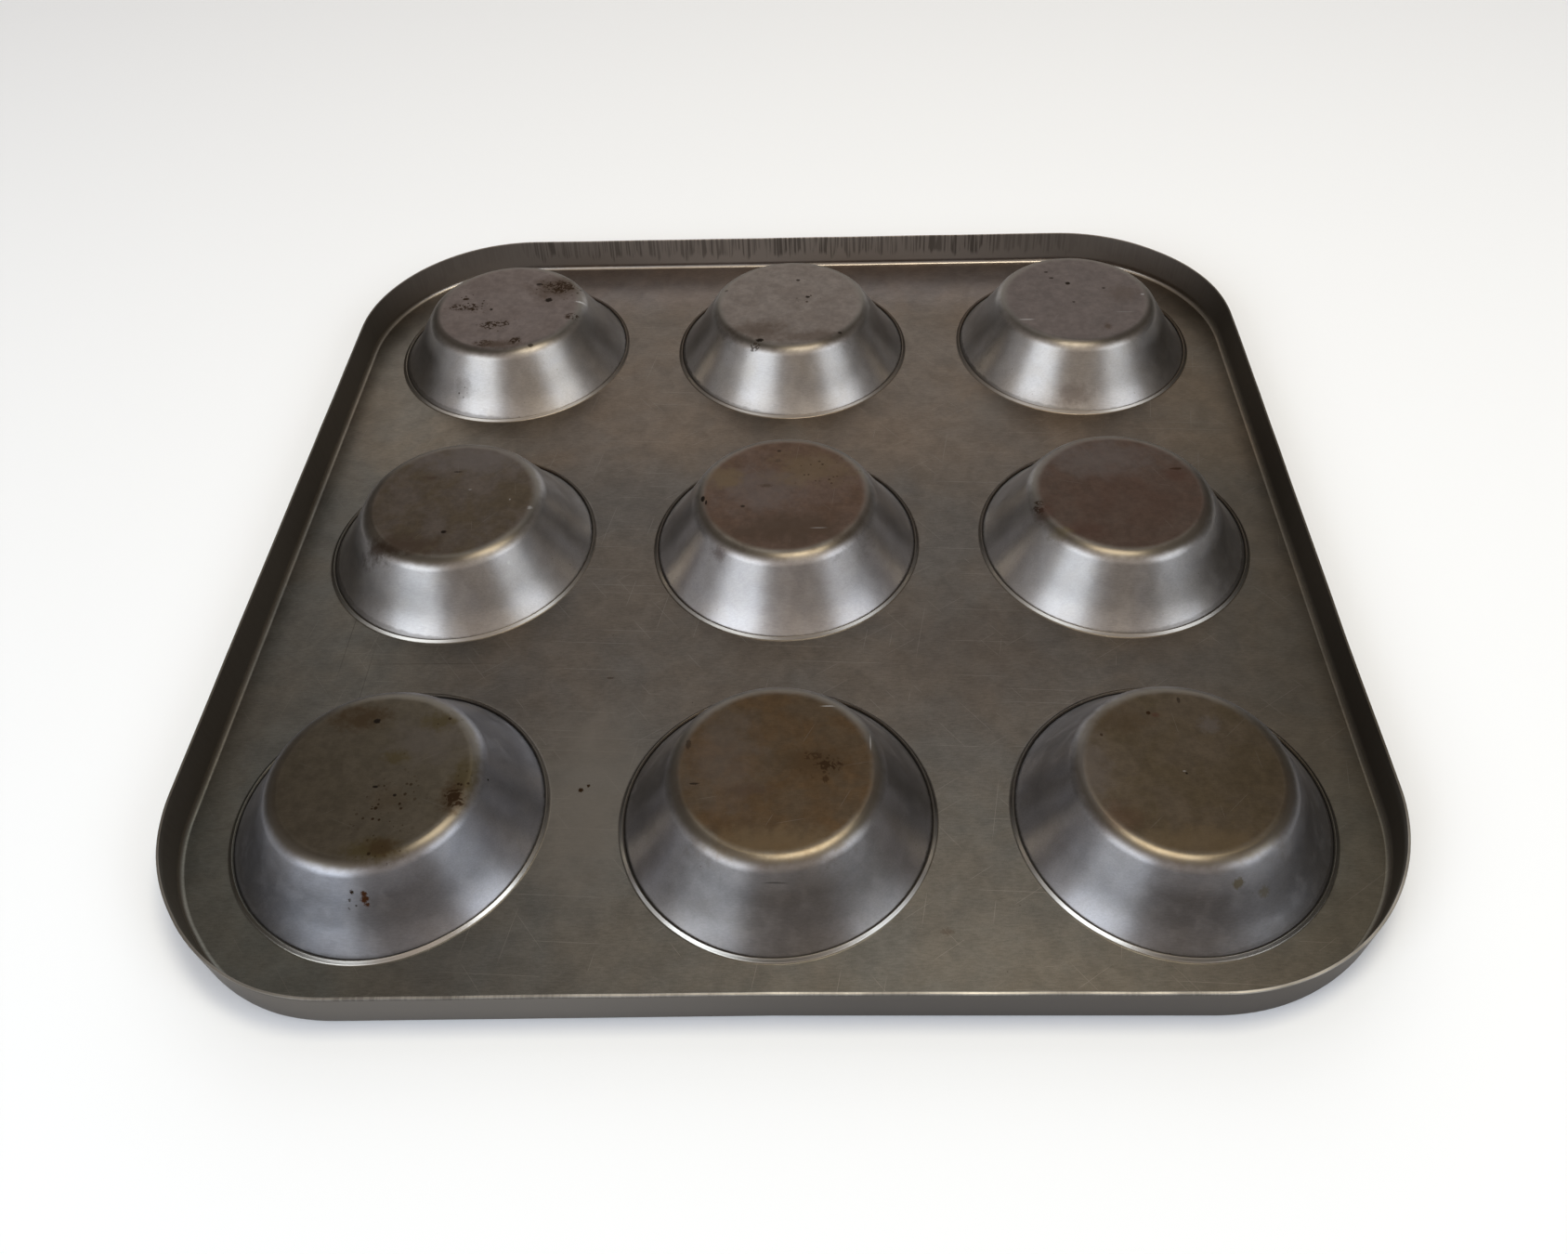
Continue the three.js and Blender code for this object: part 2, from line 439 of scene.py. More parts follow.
def rim_shares(rim):
    """Where each point of the rim's section lies: 0 to 1 round the inner bend, 1 to 2 up the inner wall, 2 at
    the raw edge and 3 down the outside."""
    bend_end = RIM_BEND_STEPS
    low = rim[bend_end][1]
    edge_depth = 0.5 * MM
    high = PLATE_HIGH.z - edge_depth
    edge_at = max(range(len(rim)), key=lambda number: rim[number][1])
    shares = []
    for number, (_, up, _) in enumerate(rim):
        if number <= bend_end:
            shares.append(number / bend_end)
        elif up >= high:
            shares.append(2.0)
        else:
            shares.append(1.0 + (up - low) / (high - low) if number < edge_at else 3.0)
    return shares


def lip_wear_and_highlight(worn, most, way):
    """Wear of a collar's lip, with its painted highlight: rubbed bright in front of its cup, where the
    highlight falls, and hardly elsewhere.
    """
    least = 0.1
    starts, full = 0.1, -0.5
    front = clamp((starts - way.y) / (starts - full))
    return worn * (least + (most - least) * front) if worn > 0.0 else worn


def plate_mesh(sizes):
    """The pressed sheet: a share of plate round each cup, its turned hole edge, and the rim outside."""
    bm = bmesh.new()
    bare = bm.verts.layers.float.new("bare")
    rise = bm.verts.layers.float.new("rise")
    along = bm.verts.layers.float.new("along")
    rim = rim_section(sizes)
    collar = collar_section(sizes)
    foot = rim[0][0]
    shares = rim_shares(rim)
    outer_axis = cup_centre(1, 2).x
    flats = (0.06, 0.2, 0.38, 0.58, 0.8)
    (below, underside, _), (above, upper_face, _) = collar[0], collar[-1]

    def vertex(x, y, up, worn):
        made = bm.verts.new((x, y, up))
        made[bare] = worn
        return made

    for row in range(len(ROWS)):
        for column in range(len(COLUMNS)):
            centre = cup_centre(row, column)
            rays = tile_rays(sizes, row, column, foot)
            spokes = []
            for way, reach, outward in rays:
                under = [(reach + (below - reach) * share, underside, 0.0) for share in (0.0, *flats)]
                over = [(above + (reach - above) * share, upper_face, 0.0) for share in flats]
                over.append((reach, upper_face, 0.0))
                spoke = []
                for out, up, worn in under + collar + over:
                    place = centre + Vector((way.x, way.y, 0.0)) * out
                    spoke.append(vertex(place.x, place.y, up, lip_wear_and_highlight(worn, LIP_WEAR_AND_HIGHLIGHT[row][column], way)))
                wall = []
                if outward is not None:
                    edge = Vector((centre.x + way.x * reach, centre.y + way.y * reach))
                    distance = rim_along(edge, outer_axis, foot)
                    for (out, up, _), share in zip(rim, shares):
                        place = edge + outward * (out - foot)
                        made = vertex(place.x, place.y, up, 0.0)
                        made[rise] = share
                        made[along] = distance
                        wall.append(made)
                spokes.append((spoke, wall))
            for index, (spoke, wall) in enumerate(spokes):
                next_spoke, next_wall = spokes[(index + 1) % len(spokes)]
                for low in range(len(spoke) - 1):
                    bm.faces.new((spoke[low], next_spoke[low], next_spoke[low + 1], spoke[low + 1]))
                if wall and next_wall:
                    for low in range(len(wall) - 1):
                        bm.faces.new((wall[low], next_wall[low], next_wall[low + 1], wall[low + 1]))
    touching = 0.5 * MM * MM
    bmesh.ops.remove_doubles(bm, verts=bm.verts, dist=touching)
    swell_plate(bm, sizes, foot)
    return bm


def swell_plate(bm, sizes, foot):
    """Gives the sheet its slight swell: the plate rises a little, and the rim's edge wanders and bows."""
    top = PLATE_LOW.z + sizes.sheet
    reach = cup_centre(1, 2).x + foot
    band = foot / 3
    plate_swell, plate_seed = 55 * MM, 3.1
    rim_swell, rim_seed = 38 * MM, 7.7
    bow_from, bow_full = -60 * MM, 100 * MM
    most_wander, edge_sink, bow_at_foot = 3.0, 0.6, 0.4
    for vertex in bm.verts:
        x, y, up = vertex.co
        lift = 0.5 + 0.5 * sheet_swell(x, y, plate_swell, plate_seed)
        vertex.co.z += sizes.wave * lift
        if max(abs(x), abs(y)) < reach - band:
            continue
        free = max(0.0, up - top) / (PLATE_HIGH.z - top)
        wander = most_wander * sizes.wave * free * free * sheet_swell(x, y, rim_swell, rim_seed)
        vertex.co -= Vector((x, y, 0.0)).normalized() * abs(wander)
        vertex.co.z -= sizes.wave * (lift + edge_sink * free)
        near = clamp((-y - reach + band) / band)
        left = clamp(-x / reach)
        vertex.co.y -= near * (sizes.near_bow * (1.0 - free) + sizes.left_bow * left)
        right = clamp((x - reach + band) / band)
        backward = clamp((y - bow_from) / (bow_full - bow_from))
        bow = bow_at_foot + (1.0 - bow_at_foot) * free
        vertex.co.x += right * backward * sizes.right_bow * bow


# Shader nodes
class Wiring:
    """Short ways to add and join nodes in one shader tree."""

    def __init__(self, tree):
        self.tree = tree

    def put(self, value, target):
        """Joins a socket to an input, or sets the input to a plain value."""
        if isinstance(value, bpy.types.NodeSocket):
            self.tree.links.new(value, target)
        elif target.type == "RGBA" and len(value) == 3:
            target.default_value = (*value, 1.0)
        else:
            target.default_value = value

    def add(self, kind, inputs=None, **settings):
        """Adds a node with its settings, and fills inputs by their names or numbers."""
        node = self.tree.nodes.new(kind)
        for name, value in settings.items():
            setattr(node, name, value)
        for name, value in (inputs or {}).items():
            self.put(value, node.inputs[name])
        return node

    def maths(self, operation, *values, clamp=False):
        """A Math node's result."""
        inputs = dict(enumerate(values))
        return self.add("ShaderNodeMath", inputs, operation=operation, use_clamp=clamp).outputs[0]

    def times(self, first, *factors):
        """A product."""
        for factor in factors:
            first = self.maths("MULTIPLY", first, factor)
        return first

    def vector(self, operation, *values, result="Vector"):
        """A Vector Math node's result."""
        return self.add("ShaderNodeVectorMath", dict(enumerate(values)), operation=operation).outputs[result]

    def scaled(self, vector, scale):
        """A vector times one number."""
        inputs = {"Vector": vector, "Scale": scale}
        return self.add("ShaderNodeVectorMath", inputs, operation="SCALE").outputs[0]

    def split(self, vector):
        """The X, Y and Z of a vector."""
        return self.add("ShaderNodeSeparateXYZ", {"Vector": vector}).outputs

    def join(self, **parts):
        """A vector from its X, Y and Z. A part that isn't given is nothing."""
        return self.add("ShaderNodeCombineXYZ", parts).outputs[0]

    def fade(self, value, start, end, low=0.0, high=1.0, style="SMOOTHSTEP"):
        """Maps a value from one range to another, held at both ends."""
        inputs = {"Value": value, "From Min": start, "From Max": end, "To Min": low, "To Max": high}
        return self.add("ShaderNodeMapRange", inputs, clamp=True, interpolation_type=style).outputs[0]

    def band(self, value, middle, half):
        """One at the middle of a band, fading to nothing at both its edges."""
        return self.fade(self.maths("ABSOLUTE", self.maths("SUBTRACT", value, middle)), 0.0, half, 1.0, 0.0)

    def mix(self, share, first, second, blend="MIX"):
        """A colour mixed from two."""
        inputs = {0: share, 6: first, 7: second}
        return self.add("ShaderNodeMix", inputs, data_type="RGBA", blend_type=blend).outputs[2]

    def blend(self, share, first, second):
        """A number mixed from two."""
        return self.add("ShaderNodeMix", {0: share, 2: first, 3: second}, data_type="FLOAT").outputs[0]

    def noise(self, vector, scale, detail=2.0, roughness=0.5, distortion=0.0):
        """A Noise Texture's value."""
        inputs = {"Vector": vector, "Scale": scale, "Detail": detail}
        inputs |= {"Roughness": roughness, "Distortion": distortion}
        return self.add("ShaderNodeTexNoise", inputs).outputs["Fac"]

    def use(self, kind, **inputs):
        """Places a shared node group with its own values, and gives its outputs."""
        return self.add("ShaderNodeGroup", inputs, node_tree=group(kind)).outputs

    def attribute(self, name):
        """A value that the mesh carries."""
        return self.add("ShaderNodeAttribute", attribute_name=name).outputs["Fac"]

    def millimetres(self):
        """The object's own coordinates, in millimetres."""
        return self.scaled(self.add("ShaderNodeTexCoord").outputs["Object"], 1 / MM)


def new_group(name, inputs, outputs=("Mask",)):
    """An empty shader group with named sockets: its tree, its wiring, and its inner inputs and outputs."""
    tree = bpy.data.node_groups.new(name, "ShaderNodeTree")
    for socket, default in inputs.items():
        kind = "NodeSocketVector" if isinstance(default, tuple) else "NodeSocketFloat"
        tree.interface.new_socket(socket, in_out="INPUT", socket_type=kind).default_value = default
    for socket in outputs:
        tree.interface.new_socket(socket, in_out="OUTPUT", socket_type="NodeSocketFloat")
    wires = Wiring(tree)
    return tree, wires, wires.add("NodeGroupInput").outputs, wires.add("NodeGroupOutput").inputs


def stain_cloud_group(name):
    """Soft clouds that cover a share of the surface."""
    inputs = {"Position": (0, 0, 0), "Size": 20.0, "Cover": 0.5, "Softness": 0.2, "Seed": 0.0}
    tree, wires, given, result = new_group(name, inputs)
    offset = wires.join(X=given["Seed"], Z=given["Seed"])
    place = wires.vector("ADD", wires.vector("DIVIDE", given["Position"], given["Size"]), offset)
    value = wires.noise(place, 1.0, 5.0, 0.58, 0.4)
    middle = wires.fade(given["Cover"], 0.0, 1.0, 0.72, 0.28, "LINEAR")
    low = wires.maths("SUBTRACT", middle, given["Softness"])
    high = wires.maths("ADD", middle, given["Softness"])
    wires.put(wires.fade(value, low, high), result["Mask"])
    return tree


def ragged_spot_group(name):
    """One spot with an uneven edge, whole or broken into crumbs."""
    inputs = {"Position": (0, 0, 0), "Centre": (0, 0, 0), "Stretch": (1, 1, 1)}
    inputs |= {"Radius": 1.0, "Softness": 0.3, "Raggedness": 0.5, "Broken": 0.0}
    tree, wires, given, result = new_group(name, inputs)
    away = wires.vector("SUBTRACT", given["Position"], given["Centre"])
    length = wires.vector("LENGTH", wires.vector("DIVIDE", away, given["Stretch"]), result="Value")
    fineness = wires.maths("DIVIDE", 1.5, given["Radius"])
    uneven = wires.maths("SUBTRACT", wires.noise(given["Position"], fineness, 4.0, 0.65), 0.5)
    stretch = wires.maths("MULTIPLY_ADD", wires.times(uneven, given["Raggedness"]), 2.0, 1.0)
    edge = wires.times(given["Radius"], stretch)
    inner = wires.maths("SUBTRACT", edge, given["Softness"])
    outer = wires.maths("ADD", edge, given["Softness"])
    crumbs = wires.fade(wires.noise(given["Position"], 0.42, 1.5, 0.5, 2.0), 0.45, 0.50)
    kept = wires.blend(given["Broken"], 1.0, crumbs)
    wires.put(wires.times(wires.fade(length, inner, outer, 1.0, 0.0), kept), result["Mask"])
    return tree


def specks_group(name):
    """Scattered specks of uneven size."""
    inputs = {"Position": (0, 0, 0), "Spacing": 4.0, "Size": 0.4, "Share": 0.3, "Seed": 0.0}
    tree, wires, given, result = new_group(name, inputs)
    offset = wires.join(Y=given["Seed"], Z=given["Seed"])
    place = wires.vector("ADD", wires.vector("DIVIDE", given["Position"], given["Spacing"]), offset)
    wobble = wires.add("ShaderNodeTexNoise", {"Vector": place, "Scale": 7.0, "Detail": 2.0}).outputs["Color"]
    off_true = wires.scaled(wires.vector("SUBTRACT", wobble, (0.5, 0.5, 0.5)), 0.12)
    cells = wires.add("ShaderNodeTexVoronoi", {"Vector": wires.vector("ADD", place, off_true), "Scale": 1.0})
    chance = wires.add("ShaderNodeSeparateColor", {"Color": cells.outputs["Color"]}).outputs
    kept = wires.maths("LESS_THAN", chance["Red"], given["Share"])
    radius = wires.times(given["Size"], wires.fade(chance["Green"], 0.0, 1.0, 0.3, 1.3, "LINEAR"))
    distance = wires.times(cells.outputs["Distance"], given["Spacing"])
    spot = wires.fade(distance, wires.times(radius, 0.55), radius, 1.0, 0.0)
    wires.put(wires.times(spot, kept), result["Mask"])
    return tree


def scratches_group(name):
    """Straight fine scratches, all about one way."""
    inputs = {"Position": (0, 0, 0), "Turn": 0.0, "Length": 40.0, "Spacing": 6.0, "Width": 0.1, "Share": 0.4}
    tree, wires, given, result = new_group(name, inputs)
    turning = {"Vector": given["Position"], "Angle": given["Turn"]}
    turned = wires.add("ShaderNodeVectorRotate", turning, rotation_type="Z_AXIS").outputs["Vector"]
    cell = wires.join(X=given["Length"], Y=given["Spacing"], Z=30.0)
    place = wires.vector("DIVIDE", turned, cell)
    cells = wires.add("ShaderNodeTexVoronoi", {"Vector": place, "Scale": 1.0})
    chance = wires.add("ShaderNodeSeparateColor", {"Color": cells.outputs["Color"]}).outputs
    offset = wires.vector("SUBTRACT", place, cells.outputs["Position"])
    away = wires.split(wires.vector("ABSOLUTE", wires.vector("MULTIPLY", offset, cell)))
    across = wires.fade(away["Y"], 0.0, given["Width"], 1.0, 0.0)
    half = wires.times(given["Length"], wires.fade(chance["Green"], 0.0, 1.0, 0.08, 0.45, "LINEAR"))
    along = wires.fade(away["X"], wires.times(half, 0.4), half, 1.0, 0.0)
    kept = wires.maths("LESS_THAN", chance["Red"], given["Share"])
    wires.put(wires.times(across, along, kept), result["Mask"])
    return tree


def sheet_grain_group(name):
    """Fine grain of rolled sheet: a tone about one half, and a height."""
    tree, wires, given, result = new_group(name, {"Position": (0, 0, 0), "Size": 1.0}, ("Tone", "Height"))
    place = wires.vector("DIVIDE", given["Position"], given["Size"])
    rolled = wires.noise(wires.vector("MULTIPLY", place, (0.35, 1.6, 1.6)), 1.0, 4.0, 0.6)
    fine = wires.noise(place, 3.1, 3.0, 0.6)
    wires.put(wires.blend(0.45, rolled, fine), result["Tone"])
    wires.put(wires.blend(0.65, rolled, fine), result["Height"])
    return tree


GROUPS = {
    "Stain cloud": stain_cloud_group,
    "Ragged spot": ragged_spot_group,
    "Specks": specks_group,
    "Scratches": scratches_group,
    "Sheet grain": sheet_grain_group,
}


def group(kind):
    """The shared node group of that kind, made on first use."""
    return bpy.data.node_groups.get(kind) or GROUPS[kind](kind)


def new_material(name):
    """An empty material: the material, its wiring and its Principled BSDF."""
    material = bpy.data.materials.new(name)
    material.use_nodes = True
    material.node_tree.nodes.clear()
    wires = Wiring(material.node_tree)
    shader = wires.add("ShaderNodeBsdfPrincipled")
    wires.add("ShaderNodeOutputMaterial", {"Surface": shader.outputs["BSDF"]})
    return material, wires, shader


class Surface:
    """The running colour, roughness, metal share and height of one material."""

    def __init__(self, wires, shader, colour, roughness, metal):
        self.wires = wires
        self.shader = shader
        self.colour = colour
        self.roughness = roughness
        self.metal = metal
        self.height = None

    def lay(self, mask, colour=None, roughness=None, metal=None, blend="MIX"):
        """Lays a finish over what is there, as far as the mask says."""
        if colour is not None:
            self.colour = self.wires.mix(mask, self.colour, colour, blend)
        if roughness is not None:
            self.roughness = self.wires.blend(mask, self.roughness, roughness)
        if metal is not None:
            self.metal = self.wires.blend(mask, self.metal, metal)

    def shade(self, value, swing):
        """Darkens and lightens the colour by up to that share, as a noise value goes about one half."""
        low, high = 0.3, 0.7
        tone = self.wires.fade(value, low, high, 1 - swing, 1 + swing)
        self.lay(1.0, tone, blend="MULTIPLY")

    def raise_by(self, mask, amount):
        """Adds to the fine relief, in millimetres."""
        step = self.wires.times(mask, amount)
        self.height = step if self.height is None else self.wires.maths("ADD", self.height, step)

    def finish(self):
        """Joins the running values to the shader."""
        self.wires.put(self.colour, self.shader.inputs["Base Color"])
        self.wires.put(self.roughness, self.shader.inputs["Roughness"])
        self.wires.put(self.metal, self.shader.inputs["Metallic"])
        if self.height is not None:
            relief = {"Height": self.height, "Strength": 1.0, "Distance": MM}
            bump = self.wires.add("ShaderNodeBump", relief)
            self.wires.put(bump.outputs["Normal"], self.shader.inputs["Normal"])


# Marks of use
BASE_UP = 24.5
PLATE_UP = 1.6


class Mark(NamedTuple):
    """A mark on a surface: its kind, its place and radius in millimetres, its stretch along X and Y, its
    strength, and the height of a mark that isn't on a cup's base."""

    kind: str
    x: float
    y: float
    radius: float
    wide: float = 1.0
    deep: float = 1.0
    strength: float = 1.0
    up: float = BASE_UP


class Tint(NamedTuple):
    """What a kind of mark does to the steel under it."""

    colour: tuple
    roughness: float
    metal: float
    softness: float
    raggedness: float
    broken: float = 0.0


TINTS = {
    "rust": Tint((0.022, 0.012, 0.006), 0.60, 0.96, 0.25, 0.9, 1.0),
    "ember": Tint((0.060, 0.024, 0.010), 0.60, 0.96, 0.35, 0.9),
    "burn": Tint((0.012, 0.009, 0.007), 0.50, 0.96, 0.25, 0.7),
    "olive": Tint((0.050, 0.038, 0.016), 0.42, 0.80, 0.70, 1.0),
    "gilt": Tint((0.100, 0.078, 0.030), 0.42, 0.80, 0.35, 1.0),
    "amber": Tint((0.036, 0.021, 0.009), 0.40, 0.80, 0.70, 1.2),
    "ochre": Tint((0.098, 0.070, 0.040), 0.36, 0.90, 0.60, 1.2),
    "brown": Tint((0.044, 0.029, 0.020), 0.38, 0.85, 0.70, 1.2),
    "red": Tint((0.048, 0.021, 0.014), 0.40, 0.80, 0.70, 1.0),
    "grey": Tint((0.092, 0.080, 0.076), 0.34, 0.92, 0.70, 1.2),
    "pale": Tint((0.40, 0.39, 0.38), 0.34, 0.95, 0.50, 1.2),
    "scuff": Tint((0.120, 0.108, 0.095), 0.42, 0.85, 0.80, 1.0),
    "dots": Tint((0.020, 0.012, 0.006), 0.60, 0.96, 0.60, 0.8),
}


class CupLook(NamedTuple):
    """How one cup has aged: its base's two stain colours, its speckling, its marks, the side and depth of
    the painted shadow in its seam (degrees from the front, millimetres), how far its base has shifted back,
    the brown film on its wall, the tone of its steel, which is set per cup as painted shade and light
    matching how bright its reflections look, and how far the front of its rounding is rubbed clean and
    painted brighter as a highlight."""

    stain: tuple
    second: tuple
    specks: float
    marks: tuple = ()
    seam: tuple = (0.0, 0.0)
    shift: float = 0.0
    film: float = 0.05
    tone: tuple = (1.0, 1.0, 1.0)
    rubbed_and_highlit: float = 0.0


